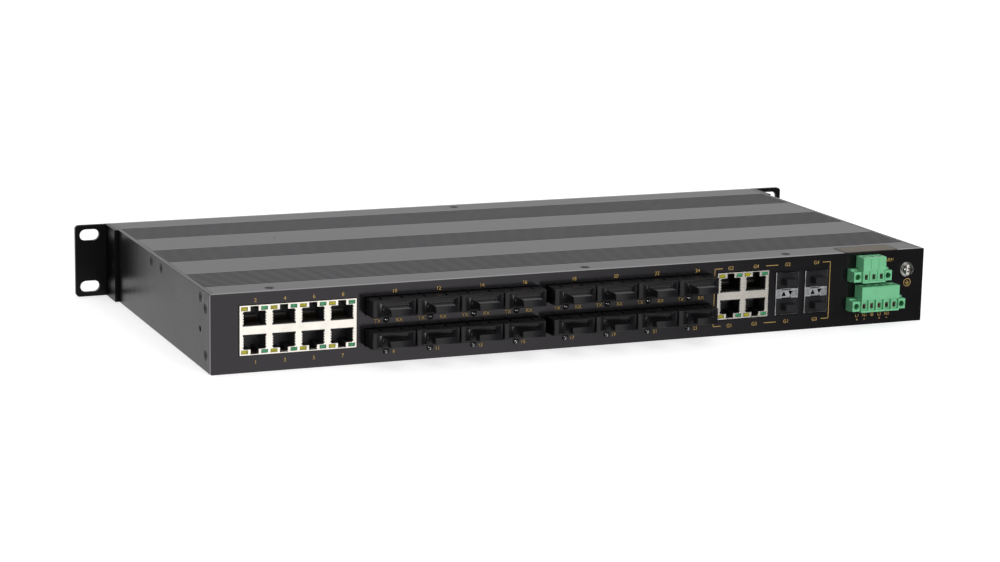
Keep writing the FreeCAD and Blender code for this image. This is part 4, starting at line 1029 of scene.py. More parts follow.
class SWITCH_OT_copper_sockets(bpy.types.Operator):
    """Make the shields, inserts, spring tabs, contact combs and lamps of the copper sockets"""

    bl_idname = "rack_switch.copper_sockets"
    bl_label = "Copper sockets"

    def execute(self, context):
        self.make_shields()
        for node in ("rj45_inserts_8", "rj45_inserts_4"):
            softened(node, INSERT_ROUND)
        for node in ("rj45_yellow_lamps", "rj45_green_lamps"):
            softened(node, SOCKET_LAMP_ROUND, 4)
        tree = row_group()
        self.make_tabs(tree)
        self.make_combs(tree)
        return {"FINISHED"}

    def make_shields(self):
        """The shields, their openings widened round the spring tabs."""
        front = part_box("rj45_shields")[0].y
        shape = bmesh.new()
        for name, x, middle, row in socket_mouths():
            low, high = sorted(middle + row * reach for reach in OPENING_SPAN)
            box_between(
                shape, (x - OPENING_HALF_WIDTH, front - MM, low),
                (x + OPENING_HALF_WIDTH, front + OPENING_DEPTH, high),
            )
        cut_copy("rj45_shields", [scratch_object(mesh_of(shape, "openings"))], SHIELD_ROUND)

    def make_tabs(self, tree):
        """Spring tabs up both sides of every socket."""
        front = PORT_FACE - SHIELD_PROUD - SKIN
        start = (FINGER_COUNT - 1) / 2 * FINGER_PITCH
        for side, hand in ((1, "left"), (-1, "right")):
            tab = scratch_object(finger_mesh(side))
            points = [
                (x - side * OPENING_HALF_WIDTH, front, middle + row * FINGER_OFFSET - start)
                for name, x, middle, row in socket_mouths()
            ]
            tabs = rows_of(
                tab, f"spring_tabs_{hand}", points, tree, FINGER_COUNT, (0, 0, FINGER_PITCH),
                finish_of("nickel_shield"),
            )
            keep_piece(tabs, "case")
            drop(tab)

    def make_combs(self, tree):
        """A plastic comb near the back of every socket, above its contacts."""
        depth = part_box("rj45_contacts")[1].y - COMB_SETBACK
        start = (COMB_TEETH - 1) / 2 * CONTACT_PITCH
        tooth = scratch_box("comb_tooth", -TOOTH_HALF, TOOTH_HALF)
        bar_half = Vector((start + COMB_END, COMB_HALF, COMB_HALF))
        bar = round_edges(scratch_box("comb_bar", -bar_half, bar_half), INSERT_ROUND)
        bars = []
        teeth = []
        for name, x, middle, row in socket_mouths():
            z = middle + row * COMB_OFFSET
            bars.append((x, depth, z))
            teeth.append((x - start, depth, z - row * TOOTH_DROP))
        for label, shape, points, count in (("bars", bar, bars, 1), ("teeth", tooth, teeth, COMB_TEETH)):
            piece = rows_of(
                shape, f"contact_comb_{label}", points, tree, count, (CONTACT_PITCH, 0, 0),
                finish_of("chip_package"),
            )
            keep_piece(piece, "case")
            drop(shape)


# ---------------------------------------------------------------- fibre ports

CAP_NOSE_DEPTH = 5.0 * MM
CAP_FLANGE = 1.5 * MM
CAP_FLARE_SPREAD = 6.2 * MM
CAP_FLARE_REACH = 6.36 * MM
CAP_NECK_HALF_WIDTH = 5.85 * MM
CAP_NECK_HALF_HEIGHT = 1.95 * MM
CAP_ROOT_HALF_HEIGHT = 4.5 * MM
CAP_CHANNEL_ROOT = 8.4 * MM
CAP_CHANNEL_TIP = 5.4 * MM
CAP_NOSE_ASIDE = 6.35 * MM
CAP_NOSE_HALF = (4.25 * MM, 3.35 * MM)
CAP_STEPS = 14
CAP_FALL = (0.3, 0.7)
CAP_FLANGE_CORNER = 0.48
CAP_FLANGE_EDGE = 0.6
CAP_SHARP_TURN = math.radians(38)

LAMP_RADIUS = 1.75 * MM
LAMP_FOOT = -3.5 * MM
DOME_STEPS = 10


class SWITCH_OT_transceivers(bpy.types.Operator):
    """Make the transceiver housings with rounded edges"""

    bl_idname = "rack_switch.transceivers"
    bl_label = "Transceivers"

    def execute(self, context):
        for row in ("upper", "lower"):
            softened(f"fibre_transceivers_{row}", context.scene.rack_switch_sizes.plastic_round)
        return {"FINISHED"}


def channel_half(share):
    """Half the width of a cap's channel, from its root to its tip."""
    return CAP_CHANNEL_ROOT + (CAP_CHANNEL_TIP - CAP_CHANNEL_ROOT) * share


def cap_wing(side, flange_front, root, rounding):
    """One flare of a cap, curved in from the flange to the neck."""
    sections = []
    for step in range(CAP_STEPS + 1):
        share = step / CAP_STEPS
        curve = 1 - math.sqrt(1 - (1 - share) ** 2)
        outer = CAP_NECK_HALF_WIDTH + CAP_FLARE_SPREAD * curve - SKIN
        fall = CAP_FALL[0] * (1 - share) + CAP_FALL[1] * curve
        reach = CAP_NECK_HALF_HEIGHT + (CAP_ROOT_HALF_HEIGHT - CAP_NECK_HALF_HEIGHT) * fall - SKIN
        span = sorted((side * channel_half(share), side * outer))
        y = flange_front - share * CAP_FLARE_REACH if step else root
        sections.append((y, span, (-reach, reach)))
    return round_edges(section_loft("cap_wing", sections), rounding)


def cap_cove(flange_front, root, rounding):
    """The hollow curve that joins a cap's neck to its flange."""
    cove_radius = CAP_ROOT_HALF_HEIGHT - CAP_NECK_HALF_HEIGHT
    half = CAP_CHANNEL_ROOT + SKIN
    reach = CAP_ROOT_HALF_HEIGHT - SKIN
    sections = [(root, (-half, half), (-reach, reach))]
    for angle in (0, *quarter_turn(CAP_STEPS)):
        ahead = cove_radius * (1 - math.cos(angle))
        reach = CAP_NECK_HALF_HEIGHT + cove_radius * (1 - math.sin(angle)) - 2 * SKIN
        half = channel_half(ahead / CAP_FLARE_REACH) + rounding
        sections.append((flange_front - ahead - SKIN, (-half, half), (-reach, reach)))
    return section_loft("cap_cove", sections)


def cap_mesh(low, high, rounding):
    """The dust cap about its own middle; y runs from its front to the tips of its noses."""
    half_width = (high.x - low.x) / 2
    half_height = (high.z - low.z) / 2
    back = high.y - CAP_NOSE_DEPTH
    flange_front = back - CAP_FLANGE
    root = flange_front + CAP_FLANGE / 3
    flange = scratch_box(
        "cap_flange", (-half_width, flange_front, -half_height), (half_width, back, half_height),
    )
    round_upright_edges(flange, CAP_FLANGE * CAP_FLANGE_CORNER, 5)
    round_edges(flange, rounding * CAP_FLANGE_EDGE)
    wings = [cap_wing(side, flange_front, root, rounding) for side in (-1, 1)]
    cove = cap_cove(flange_front, root, rounding)
    neck = round_edges(scratch_box(
        "cap_neck", (-CAP_NECK_HALF_WIDTH, low.y, -CAP_NECK_HALF_HEIGHT),
        (CAP_NECK_HALF_WIDTH, root, CAP_NECK_HALF_HEIGHT),
    ), rounding)
    noses = []
    for side in (-1, 1):
        centre = side * CAP_NOSE_ASIDE
        noses.append(round_edges(scratch_box(
            "cap_nose", (centre - CAP_NOSE_HALF[0], back - CAP_FLANGE / 2, -CAP_NOSE_HALF[1]),
            (centre + CAP_NOSE_HALF[0], high.y, CAP_NOSE_HALF[1]),
        ), 2 * rounding, 3))
    combine(flange, [*wings, cove, neck, *noses])
    shape = opened(flange.data)
    bmesh.ops.remove_doubles(shape, verts=shape.verts, dist=MERGE)
    bmesh.ops.recalc_face_normals(shape, faces=shape.faces)
    mesh = mesh_of(shape, "dust_cap")
    drop(flange)
    smooth(mesh, CAP_SHARP_TURN)
    return mesh


class SWITCH_OT_dust_caps(bpy.types.Operator):
    """Make the dust caps of the fibre ports, one on each body"""

    bl_idname = "rack_switch.dust_caps"
    bl_label = "Dust caps"

    def execute(self, context):
        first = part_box(f"fibre_cap_{FIRST_FIBRE:02d}")
        pattern = cap_mesh(*first, context.scene.rack_switch_sizes.plastic_round)
        for number in range(FIRST_FIBRE, LAST_FIBRE + 1):
            node = f"fibre_cap_{number:02d}"
            middle = middle_of(node)
            mesh = pattern.copy()
            mesh.name = f"{node}_finished"
            mesh.transform(Matrix.Translation((middle.x, 0, middle.z)))
            keep_finished(new_object(f"{node}_finished", mesh, NODE_SLOTS[node]), node)
        return {"FINISHED"}


class SWITCH_OT_fibre_lamps(bpy.types.Operator):
    """Set a clear domed lamp beside every fibre port"""

    bl_idname = "rack_switch.fibre_lamps"
    bl_label = "Fibre lamps"

    def execute(self, context):
        dome = [
            (LAMP_RADIUS * math.sin(angle), LAMP_RADIUS * math.cos(angle))
            for angle in quarter_turn(DOME_STEPS)
        ]
        profile = [(0, LAMP_RADIUS), *dome, (LAMP_RADIUS, LAMP_FOOT), (0, LAMP_FOOT)]
        mesh = turned("lamp", profile, context.scene.rack_switch_sizes.screw_steps)
        mesh.transform(UPRIGHT)
        smooth(mesh)
        lamp = scratch_object(mesh)
        middles = [(low + high) / 2 for low, high in node_islands("fibre_lamps")]
        piece = run_group(
            "fibre_lamp_set", [(middle.x, PORT_FACE, middle.z) for middle in middles],
            scatter_group(), {"Shape": lamp, "Size": 1.0, "Material": finish_of("clear_lens")},
            [((0, -1, 0), (1, 0, 0))] * len(middles),
        )
        keep_finished(piece, "fibre_lamps")
        drop(lamp)
        return {"FINISHED"}


# ---------------------------------------------------------------- cages

CAGE_HALF_WIDTH = 7.6 * MM
CAGE_ROUND = 0.08 * MM
BAND_HALF_HEIGHT = 2.75 * MM
BAND_SLOT = (-3.6 * MM, 2.6 * MM)
BAND_SLOT_HEIGHT = 0.75 * MM
BAND_SLOT_DEPTH = 1.2 * MM
SLIT_SIZE = Vector((0.3 * MM, 0.3 * MM, 3.6 * MM))
SLIT_PITCH = 0.85 * MM
SLIT_GROUPS = ((-6.6 * MM, 3), (3.7 * MM, 4))
RIM_WIDTH = 0.42 * MM
RIM_LAP = 0.1 * MM
RIM_PROUD = 0.25 * MM


def cage_middles():
    return [middle_of(plug).x for plug in ("sfp_plug_g1", "sfp_plug_g3")]


class SWITCH_OT_cages(bpy.types.Operator):
    """Make the pluggable cages, the stamped band between them and their dust plugs"""

    bl_idname = "rack_switch.cages"
    bl_label = "Cages and plugs"

    def execute(self, context):
        low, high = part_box("sfp_cages")
        front = low.y
        level = (low.z + high.z) / 2
        notches = []
        for middle in cage_middles():
            for side in (-1, 1):
                foot, head = sorted((
                    level + side * (BAND_HALF_HEIGHT - BAND_SLOT_HEIGHT),
                    level + side * (BAND_HALF_HEIGHT + RIM_LAP),
                ))
                notches.append(scratch_box(
                    "band_notch", (middle + BAND_SLOT[0], front - MM / 2, foot),
                    (middle + BAND_SLOT[1], front + BAND_SLOT_DEPTH, head),
                ))
        cut_copy("sfp_cages", notches, CAGE_ROUND)
        self.make_slits(front, level)
        self.make_rims(low, high, front)
        for number in range(1, 5):
            softened(f"sfp_plug_g{number}", context.scene.rack_switch_sizes.plastic_round)
        return {"FINISHED"}

    def make_slits(self, front, level):
        """Upright dark boxes at both ends of the band: painted shade that stands for stamped openings.
        """
        # Painted shade: each opening in the band is a dark box, not a hole.
        slit_shade = round_edges(scratch_box("stamped_slit", -SLIT_SIZE / 2, SLIT_SIZE / 2), CAGE_ROUND)
        tree = row_group()
        depth = front + SLIT_SIZE.y / 2 - SKIN
        for index, (start, count) in enumerate(SLIT_GROUPS):
            points = [(middle + start, depth, level) for middle in cage_middles()]
            slit_shades = rows_of(
                slit_shade, f"band_slits_{index + 1}", points, tree, count, (SLIT_PITCH, 0, 0),
                finish_of("black_panel"),
            )
            keep_piece(slit_shades, "case")
        drop(slit_shade)

    def make_rims(self, low, high, front):
        """Black bars that cover the cage edge at the top, the bottom and the right."""
        near, far = front - RIM_PROUD, front + RIM_LAP
        shape = bmesh.new()
        for middle in cage_middles():
            left = middle - CAGE_HALF_WIDTH + RIM_WIDTH
            right = middle + CAGE_HALF_WIDTH
            box_between(shape, (left, near, high.z - RIM_WIDTH), (right, far, high.z + RIM_LAP))
            box_between(shape, (left, near, low.z - RIM_LAP), (right, far, low.z + RIM_WIDTH))
            box_between(shape, (right - RIM_WIDTH, near, low.z), (right + RIM_LAP, far, high.z))
        piece = new_object("cage_rims", mesh_of(shape, "cage_rims"), "black_panel")
        round_edges(piece, RIM_LAP)
        keep_piece(piece, "case")


# ---------------------------------------------------------------- terminals and earth screw

WAY_PITCH = 5.08 * MM
SEAM_HALF_WIDTH = 0.12 * MM
SEAM_DEPTH = 0.22 * MM
SEAM_FOOT = 7.6 * MM
TOP_SEAM_DROP = 1.5 * MM
TOP_SEAM_HALF = 0.084 * MM
CELL_HALF_WIDTH = 2.1 * MM
CELL_DEPTH = 1.5 * MM
CELL_FOOT = 1.1 * MM
CELL_TOP = 7.3 * MM
CLAMP_RISE = 3.5 * MM
CLAMP_SIZE = Vector((1.8 * MM, 2.6 * MM, 2.8 * MM))
CLAMP_SETBACK = 3.1 * MM
CLAMP_ROUND = 0.12 * MM
CHANNEL_LOW = (-0.5 * MM, -CLAMP_SIZE.y, -0.9 * MM)
CHANNEL_HIGH = (0.5 * MM, 0, 0.7 * MM)
PLUG_ROUND = 0.8

EARTH_HEAD_RADIUS = 3.4 * MM
EARTH_HEAD_HEIGHT = 2.3 * MM
EARTH_DOME = 0.8
EARTH_DOME_STEPS = 9
EARTH_SHOULDER = 0.75
EARTH_BRIM = 0.1 * MM
EARTH_SHANK = 1.95 * MM
EARTH_POINT = (1.4 * MM, 0.5 * MM)
EARTH_RECESS = (2.15 * MM, 0.5 * MM, 1.5 * MM)
EARTH_SPIN = math.radians(38)
WASHER_ROUND = 0.2 * MM


def way_places(node):
    """The x of every way of a terminal plug."""
    low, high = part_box(node)
    ways = round((high.x - low.x) / WAY_PITCH) - 2
    return [(low.x + high.x) / 2 + (index - (ways - 1) / 2) * WAY_PITCH for index in range(ways)]


def clamp_shape():
    """A wire clamp: a small rounded block with a channel across its mouth."""
    clamp = scratch_box("clamp", -CLAMP_SIZE / 2, CLAMP_SIZE / 2)
    channel = scratch_box("clamp_channel", CHANNEL_LOW, CHANNEL_HIGH)
    return round_edges(combine(clamp, [channel], "DIFFERENCE"), CLAMP_ROUND)


def seam_cutters(node):
    """Cutters for a groove between the ways and one under the top edge."""
    low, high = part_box(node)
    front = low.y
    places = way_places(node)
    cutters = []
    for place in places[1:]:
        x = place - WAY_PITCH / 2
        cutters.append(scratch_box(
            "seam", (x - SEAM_HALF_WIDTH, front - MM, low.z + SEAM_FOOT),
            (x + SEAM_HALF_WIDTH, front + SEAM_DEPTH, high.z + MM),
        ))
    level = high.z - TOP_SEAM_DROP
    reach = WAY_PITCH / 2 + MM
    cutters.append(scratch_box(
        "top_seam", (places[0] - reach, front - MM, level - TOP_SEAM_HALF),
        (places[-1] + reach, front + SEAM_DEPTH / 2, level + TOP_SEAM_HALF),
    ))
    return cutters


def cell_cutters(node):
    """Cutters that deepen the cell round every wire entry."""
    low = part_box(node)[0]
    return [
        scratch_box(
            "cell", (x - CELL_HALF_WIDTH, low.y - MM, low.z + CELL_FOOT),
            (x + CELL_HALF_WIDTH, low.y + CELL_DEPTH, low.z + CELL_TOP),
        )
        for x in way_places(node)
    ]


class SWITCH_OT_terminals(bpy.types.Operator):
    """Make the terminal blocks, their headers, wire clamps and clamp screws"""

    bl_idname = "rack_switch.terminals"
    bl_label = "Terminal blocks"

    def execute(self, context):
        rounding = context.scene.rack_switch_sizes.plastic_round * PLUG_ROUND
        softened("terminal_headers", rounding)
        clamp = clamp_shape()
        tree = row_group()
        for node, cutters in (("alarm_plug", seam_cutters), ("power_plug", cell_cutters)):
            cut_copy(node, cutters(node), rounding)
            softened(f"{node}_screws", CLAMP_ROUND)
            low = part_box(node)[0]
            places = way_places(node)
            # Painted shade: the clamps' dark brown stands for the shade deep in their entries.
            clamps = rows_of(
                clamp, f"{node}_clamps", [(places[0], low.y + CLAMP_SETBACK, low.z + CLAMP_RISE)],
                tree, len(places), (WAY_PITCH, 0, 0), wire_clamp("wire clamp"),
            )
            keep_piece(clamps, NODES[node]["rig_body"])
        drop(clamp)
        return {"FINISHED"}


class SWITCH_OT_earth_screw(bpy.types.Operator):
    """Make the plated earth screw and its two washers"""

    bl_idname = "rack_switch.earth_screw"
    bl_label = "Earth screw"

    def execute(self, context):
        low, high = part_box("ground_screw")
        front = low.y
        seat = front + EARTH_HEAD_HEIGHT
        tip_radius, tip_length = EARTH_POINT
        profile = [(0, front)]
        for angle in quarter_turn(EARTH_DOME_STEPS):
            radius = EARTH_HEAD_RADIUS * math.sin(angle) ** EARTH_SHOULDER
            fall = EARTH_HEAD_HEIGHT * EARTH_DOME * (1 - math.cos(angle))
            profile.append((radius, front + fall))
        profile += [
            (EARTH_HEAD_RADIUS, seat - EARTH_BRIM), (EARTH_HEAD_RADIUS - EARTH_BRIM, seat),
            (EARTH_SHANK, seat), (EARTH_SHANK, high.y - tip_length),
            (tip_radius, high.y), (0, high.y),
        ]
        steps = 2 * context.scene.rack_switch_sizes.screw_steps
        screw = scratch_object(turned("earth_screw", profile, steps))
        cutter = cross_recess(*EARTH_RECESS)
        spin = Matrix.Rotation(EARTH_SPIN, 4, "Z")
        cutter.data.transform(Matrix.Translation((0, front, 0)) @ UPRIGHT @ spin)
        combine(screw, [cutter], "DIFFERENCE")
        mesh = screw.data.copy()
        drop(screw)
        middle = (low + high) / 2
        mesh.transform(Matrix.Translation((middle.x, 0, middle.z)))
        smooth(mesh)
        piece = new_object("ground_screw_finished", mesh, "bright_steel")
        keep_finished(piece, "ground_screw")
        softened("ground_washers", WASHER_ROUND, 3)
        return {"FINISHED"}


# ---------------------------------------------------------------- print and label

CAPITAL_HEIGHT = 0.7
LETTER_BOLD = 0.013
INK_THICKNESS = 0.03 * MM
RING_STEPS = 28

LOWER_NUMBER_PLACE = (3.8 * MM, -8.95 * MM)
UPPER_NUMBER_PLACE = (4.3 * MM, 7.3 * MM)
TX_PLACE = (-5.8 * MM, -8.9 * MM)
RX_PLACE = (7.1 * MM, -8.9 * MM)
SOCKET_NUMBER_ASIDE = 0.65 * MM
SOCKET_NUMBER_REACH = 17.0 * MM
SOCKET_NUMBER_DROP = 0.7 * MM
CAGE_NAME_RISE = 4.5 * MM
CAGE_NAME_DROP = 3.95 * MM
CAGE_NAME_SHIFT = 0.2 * MM
BORDER_LEFT = 2.45 * MM
BORDER_RIGHT = 1.4 * MM
BORDER_FOOT = 5.0 * MM
BORDER_GAP = (1.4 * MM, 1.0 * MM)
ALARM_PLACE = (0.8 * MM, -4.0 * MM)
POWER_NAMES = (("L1", "+"), ("N1", "-"), None, ("L2", "+"), ("N2", "-"))
POWER_NAME_DROP = 3.6 * MM
SIGN_DROP = 2.5 * MM
SIGN_HALF = 0.55 * MM
SIGN_STROKE = 0.8
SIGN_OVERLAP = 0.4
POWER_NAME_HEIGHT = 0.9
WAY_MARK_RADIUS = 0.52
WAY_MARK_STROKE = 0.6
EARTH_MARK_PLACE = (1.0 * MM, -3.7 * MM)
EARTH_MARK_RADIUS = 2.5 * MM
EARTH_BARS = (0.55, 0.36, 0.16)
EARTH_BAR_STEP = 0.27
EARTH_STEM = 0.62

LABEL_CORNER = 1.0 * MM
LABEL_LINE = 0.55 * MM
INK_BLACK = (0.01, 0.0095, 0.009)


def letter_mesh(words, height):
    """Flat lettering about its own middle, with its capitals at the given height."""
    curve = bpy.data.curves.new("letters", "FONT")
    curve.body = words
    curve.size = 1.0
    curve.resolution_u = 4
    curve.offset = LETTER_BOLD
    curve.align_x = "CENTER"
    writer = new_object("letters", curve)
    bpy.context.view_layer.update()
    graph = bpy.context.evaluated_depsgraph_get()
    mesh = bpy.data.meshes.new_from_object(writer.evaluated_get(graph), depsgraph=graph)
    drop(writer)
    across = [vertex.co.x for vertex in mesh.vertices]
    heights = [vertex.co.y for vertex in mesh.vertices]
    middle = Vector((-(min(across) + max(across)) / 2, -(min(heights) + max(heights)) / 2, 0))
    mesh.transform(Matrix.Scale(height / CAPITAL_HEIGHT, 4) @ Matrix.Translation(middle))
    return mesh


class Legend:
    """Collects flat ink shapes on the port face and gives them a little thickness."""

    def __init__(self):
        self.shape = bmesh.new()

    def write(self, words, x, z, height):
        mesh = letter_mesh(words, height)
        mesh.transform(Matrix.Translation((x, PORT_FACE, z)) @ UPRIGHT)
        self.shape.from_mesh(mesh)

    def polygon(self, points):
        self.shape.faces.new([self.shape.verts.new((x, PORT_FACE, z)) for x, z in points])

    def bar(self, start, end, width):
        """A straight line with square ends, along X or Z."""
        (x1, z1), (x2, z2) = start, end
        half = width / 2
        if abs(x2 - x1) > abs(z2 - z1):
            self.polygon([(x1, z1 - half), (x2, z1 - half), (x2, z1 + half), (x1, z1 + half)])
        else:
            self.polygon([(x1 - half, z1), (x1 + half, z1), (x1 + half, z2), (x1 - half, z2)])

    def ring(self, x, z, radius, width):
        for step in range(RING_STEPS):
            start, end = (2 * math.pi * (step + more) / RING_STEPS for more in (0, 1))
            inside = radius - width
            self.polygon([
                (x + reach * math.cos(angle), z + reach * math.sin(angle))
                for angle, reach in ((start, radius), (end, radius), (end, inside), (start, inside))
            ])

    def earth_mark(self, x, z, radius, width):
        """A circle round a stem with three shrinking bars."""
        self.ring(x, z, radius, width)
        self.bar((x, z + radius * EARTH_STEM), (x, z), width)
        for index, share in enumerate(EARTH_BARS):
            level = z - index * radius * EARTH_BAR_STEP
            self.bar((x - share * radius, level), (x + share * radius, level), width)

    def finished(self, name):
        bmesh.ops.remove_doubles(self.shape, verts=self.shape.verts, dist=MERGE / 4)
        for face in self.shape.faces:
            if face.normal.y > 0:
                face.normal_flip()
        raised = bmesh.ops.extrude_face_region(self.shape, geom=self.shape.faces[:])
        moved = [item for item in raised["geom"] if isinstance(item, bmesh.types.BMVert)]
        bmesh.ops.translate(self.shape, verts=moved, vec=(0, -INK_THICKNESS, 0))
        bmesh.ops.recalc_face_normals(self.shape, faces=self.shape.faces)
        return mesh_of(self.shape, name)


def fibre_legend(legend, height):
    """Port numbers, and TX and RX under the upper row."""
    for number in range(FIRST_FIBRE, LAST_FIBRE + 1):
        middle = middle_of(f"fibre_cap_{number:02d}")
        words = [(str(number), LOWER_NUMBER_PLACE)]
        if number % 2 == 0:
            words = [(str(number), UPPER_NUMBER_PLACE), ("TX", TX_PLACE), ("RX", RX_PLACE)]
        for word, (aside, rise) in words:
            legend.write(word, middle.x + aside, middle.z + rise, height)


def socket_legend(legend, height):
    for name, x, middle, row in socket_mouths():
        aside = 0.0 if name.startswith("g") else SOCKET_NUMBER_ASIDE
        z = middle + row * SOCKET_NUMBER_REACH - SOCKET_NUMBER_DROP
        legend.write(name.upper(), x + aside, z, height)


def cage_legend(legend, height, width):
    """Names over and under the cages, and the broken frame round the gigabit ports."""
    low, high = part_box("sfp_cages")
    socket_low, socket_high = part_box("rj45_inserts_4")
    top = high.z + CAGE_NAME_RISE
    bottom = low.z - CAGE_NAME_DROP
    for number in range(1, 5):
        x = middle_of(f"sfp_plug_g{number}").x - CAGE_NAME_SHIFT
        legend.write(f"G{number}", x, bottom if number % 2 else top, height)
    left = socket_low.x - BORDER_LEFT
    right = high.x + BORDER_RIGHT
    gap_left = socket_high.x - BORDER_GAP[0]
    gap_right = low.x + BORDER_GAP[1]
    for level in (top, bottom):
        legend.bar((left - width / 2, level), (left + BORDER_FOOT, level), width)
        legend.bar((gap_left, level), (gap_right, level), width)
        legend.bar((right - BORDER_FOOT, level), (right + width / 2, level), width)
    for x in (left, right):
        legend.bar((x, bottom), (x, top), width)


def terminal_legend(legend, height, width):
    """The alarm and power names, their signs and the earth marks."""
    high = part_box("alarm_plug")[1]
    legend.write("ALARM", high.x + ALARM_PLACE[0], high.z + ALARM_PLACE[1], height)
    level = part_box("power_plug")[0].z - POWER_NAME_DROP
    thin = width * SIGN_STROKE
    cross = width * SIGN_OVERLAP
    for x, names in zip(way_places("power_plug"), POWER_NAMES):
        if names is None:
            legend.earth_mark(x, level, height * WAY_MARK_RADIUS, width * WAY_MARK_STROKE)
            continue
        name, sign = names
        legend.write(name, x, level, height * POWER_NAME_HEIGHT)
        under = level - SIGN_DROP
        legend.bar((x - SIGN_HALF, under), (x + SIGN_HALF, under), thin)
        if sign == "+":
            legend.bar((x, under + cross), (x, under + SIGN_HALF), thin)
            legend.bar((x, under - SIGN_HALF), (x, under - cross), thin)
    low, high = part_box("ground_washers")
    x = (low.x + high.x) / 2 + EARTH_MARK_PLACE[0]
    legend.earth_mark(x, low.z + EARTH_MARK_PLACE[1], EARTH_MARK_RADIUS, width)


class SWITCH_OT_legend(bpy.types.Operator):
    """Print the port numbers, terminal names and frame lines on the port face"""

    bl_idname = "rack_switch.legend"
    bl_label = "Legend"

    def execute(self, context):
        sizes = context.scene.rack_switch_sizes
        legend = Legend()
        fibre_legend(legend, sizes.letter_height)
        socket_legend(legend, sizes.letter_height)
        cage_legend(legend, sizes.letter_height, sizes.line_width)
        terminal_legend(legend, sizes.letter_height, sizes.line_width)
        mesh = legend.finished("printed_legend")
        piece = new_object("printed_legend", mesh)
        gold = context.scene.rack_switch_colours.print_gold
        mesh.materials.append(printed_ink("gold ink", gold))
        keep_piece(piece, "case")
        return {"FINISHED"}


class SWITCH_OT_label(bpy.types.Operator):
    """Lay the blank film label on the top cover"""

    bl_idname = "rack_switch.label"
    bl_label = "Blank label"

    def execute(self, context):
        low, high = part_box("blank_label")
        mesh = box_mesh("blank_label_finished", low, high)
        piece = new_object("blank_label_finished", mesh, "label_film")
        round_upright_edges(piece, LABEL_CORNER, 6)
        keep_finished(piece, "blank_label")
        self.make_line(low, high)
        return {"FINISHED"}

    def make_line(self, low, high):
        """A thin black line printed just inside the label's edge."""
        inset = Vector((LABEL_LINE, LABEL_LINE))
        outer = (low.xy, high.xy)
        inner = (low.xy + inset, high.xy - inset)
        top = high.z + INK_THICKNESS
        rings = [
            [(near.x, near.y, z), (far.x, near.y, z), (far.x, far.y, z), (near.x, far.y, z)]
            for (near, far), z in ((outer, high.z), (outer, top), (inner, top), (inner, high.z))
        ]
        mesh = solid_through("label_border", rings, looped=True)
        mesh.materials.append(printed_ink("black ink", INK_BLACK))
        keep_piece(new_object("label_border", mesh), "case")


# ---------------------------------------------------------------- stage

CAMERA_PLACE = (-0.595262, -1.386799, 0.331593)
CAMERA_RIGHT = (0.923129, -0.384060, 0.018167)
CAMERA_UP = (0.061741, 0.194708, 0.978916)
CAMERA_BACK = (-0.379500, -0.902545, 0.203453)
FRAME_WIDTH = 36.0
FAR_LIMIT = 60.0
FLOOR_HALF = 12.0
FLOOR_GAP = 0.1 * MM

# Each light: name, place, aim, width and height, watts.
NEAR_LIGHT = ("near left", (-0.50, -0.45, 0.06), (-0.15, -0.1, 0.02), (0.08, 0.08), 0.75)
EDGE_LIGHT = ("left edge", (-2.0, -1.1, 0.5), (-0.1, -0.1, 0.02), (0.3, 1.2), 4.8)
FRONT_LIGHT = ("front", (0.55, -1.7, 0.42), (0.1, -0.1, 0.02), (1.0, 0.5), 15.0)

# Spans are parts of a direction's X or Y over which the surround eases from one glow to another.
BEHIND_SPAN = (-0.1, 0.45)
BEHIND_GLOW = 1.0
SOFTBOX_LEFT = (-0.3, -0.1)
SOFTBOX_RIGHT = (0.39, 0.475)
SOFTBOX_GLOW = 1.4
FRONT_GLOW = 0.05


def area_light(name, place, aim, size, power):
    light = bpy.data.lights.new(name, "AREA")
    light.shape = "RECTANGLE"
    light.size, light.size_y = size
    light.energy = power
    lamp = new_object(name, light)
    direction = Vector(aim) - Vector(place)
    turn = direction.to_track_quat("-Z", "Y").to_matrix().to_4x4()
    lamp.matrix_world = Matrix.Translation(place) @ turn
    return lamp


def studio_world():
    """A white surround behind the object, and one tall softbox in the dark in front of it."""
    world = bpy.data.worlds.new("studio")
    world.use_nodes = True
    world.node_tree.nodes.clear()
    graph = Graph(world.node_tree)
    direction = graph.node("ShaderNodeTexCoord")["Generated"]
    parts = graph.node("ShaderNodeSeparateXYZ", None, {"Vector": direction})
    behind = graph.ease(parts["Y"], *BEHIND_SPAN)
    left = graph.ease(parts["X"], *SOFTBOX_LEFT)
    softbox = left * (1 - graph.ease(parts["X"], *SOFTBOX_RIGHT))
    ahead = softbox * (SOFTBOX_GLOW - FRONT_GLOW) + FRONT_GLOW
    brightness = behind * BEHIND_GLOW + (1 - behind) * ahead
    shader = graph.node(
        "ShaderNodeBackground", None, {"Color": (1, 1, 1, 1), "Strength": brightness},
    )["Background"]
    graph.node("ShaderNodeOutputWorld", None, {"Surface": shader})
    return world


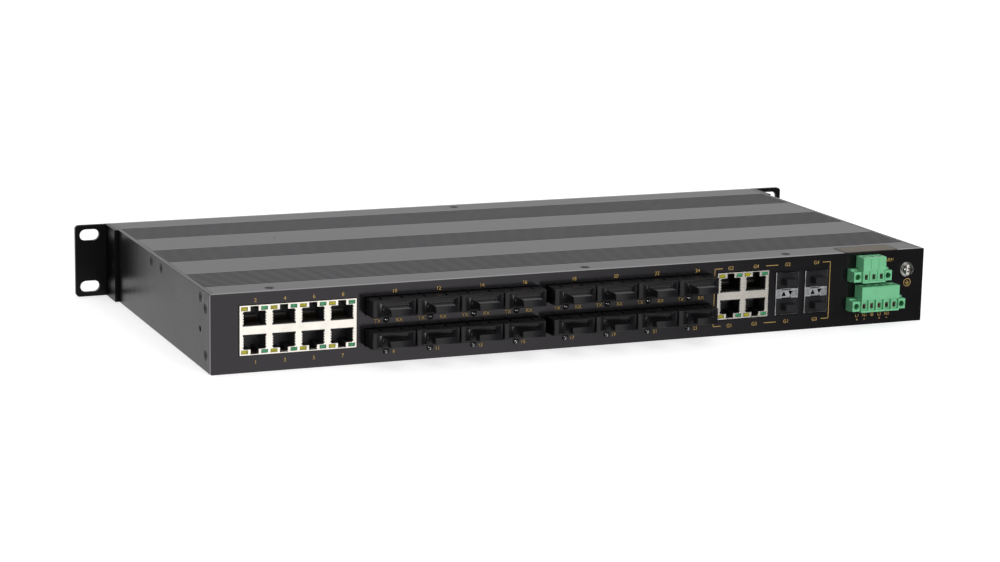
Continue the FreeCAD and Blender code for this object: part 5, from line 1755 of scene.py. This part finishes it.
class SWITCH_OT_stage(bpy.types.Operator):
    """Set the pale floor, the soft light and the camera"""

    bl_idname = "rack_switch.stage"
    bl_label = "Stage"

    def execute(self, context):
        scene = context.scene
        scene.view_settings.view_transform = "Standard"
        scene.world = studio_world()
        self.make_floor(scene.rack_switch_colours.floor_white)
        area_light(*NEAR_LIGHT).visible_camera = False
        area_light(*EDGE_LIGHT).visible_camera = False
        area_light(*FRONT_LIGHT).visible_glossy = False

        data = bpy.data.cameras.new("camera")
        data.sensor_width = FRAME_WIDTH
        data.lens = scene.rack_switch_sizes.camera_lens
        data.clip_end = FAR_LIMIT
        camera = new_object("camera", data)
        axes = Matrix((CAMERA_RIGHT, CAMERA_UP, CAMERA_BACK)).transposed().to_4x4()
        camera.matrix_world = Matrix.Translation(CAMERA_PLACE) @ axes
        scene.camera = camera
        return {"FINISHED"}

    def make_floor(self, colour):
        shape = bmesh.new()
        bmesh.ops.create_grid(shape, x_segments=8, y_segments=8, size=FLOOR_HALF)
        mesh = mesh_of(shape, "floor")
        mesh.transform(Matrix.Translation((0, 0, CAD_BOX[0].z - FLOOR_GAP)))
        mesh.materials.append(floor_paper("floor paper", colour))
        floor = new_object("floor", mesh)
        floor.visible_glossy = False
        floor.visible_diffuse = False


# ---------------------------------------------------------------- panel and registration

PIECE_OPERATORS = (
    SWITCH_OT_case,
    SWITCH_OT_inner_parts,
    SWITCH_OT_case_screws,
    SWITCH_OT_copper_sockets,
    SWITCH_OT_transceivers,
    SWITCH_OT_dust_caps,
    SWITCH_OT_fibre_lamps,
    SWITCH_OT_cages,
    SWITCH_OT_terminals,
    SWITCH_OT_earth_screw,
    SWITCH_OT_legend,
    SWITCH_OT_label,
    SWITCH_OT_stage,
)


class SWITCH_PT_panel(bpy.types.Panel):
    """Lists the pieces and their settings"""

    bl_idname = "SWITCH_PT_panel"
    bl_label = "Rack Switch"
    bl_space_type = "VIEW_3D"
    bl_region_type = "UI"
    bl_category = "Rack Switch"

    def draw(self, context):
        layout = self.layout
        for group in (context.scene.rack_switch_sizes, context.scene.rack_switch_colours):
            for name in group.__annotations__:
                layout.prop(group, name)
        for operator in PIECE_OPERATORS:
            layout.operator(operator.bl_idname)


CLASSES = (SwitchColours, SwitchSizes, *PIECE_OPERATORS, SWITCH_PT_panel)


def register():
    for item in CLASSES:
        bpy.utils.register_class(item)
    bpy.types.Scene.rack_switch_sizes = PointerProperty(type=SwitchSizes)
    bpy.types.Scene.rack_switch_colours = PointerProperty(type=SwitchColours)


def unregister():
    del bpy.types.Scene.rack_switch_colours
    del bpy.types.Scene.rack_switch_sizes
    for item in reversed(CLASSES):
        bpy.utils.unregister_class(item)


def main():
    register()
    FINISHES.update(make_finishes(bpy.context.scene.rack_switch_colours))
    for operator in PIECE_OPERATORS:
        getattr(bpy.ops.rack_switch, operator.bl_idname.split(".")[1])()


if __name__ == "__main__":
    main()
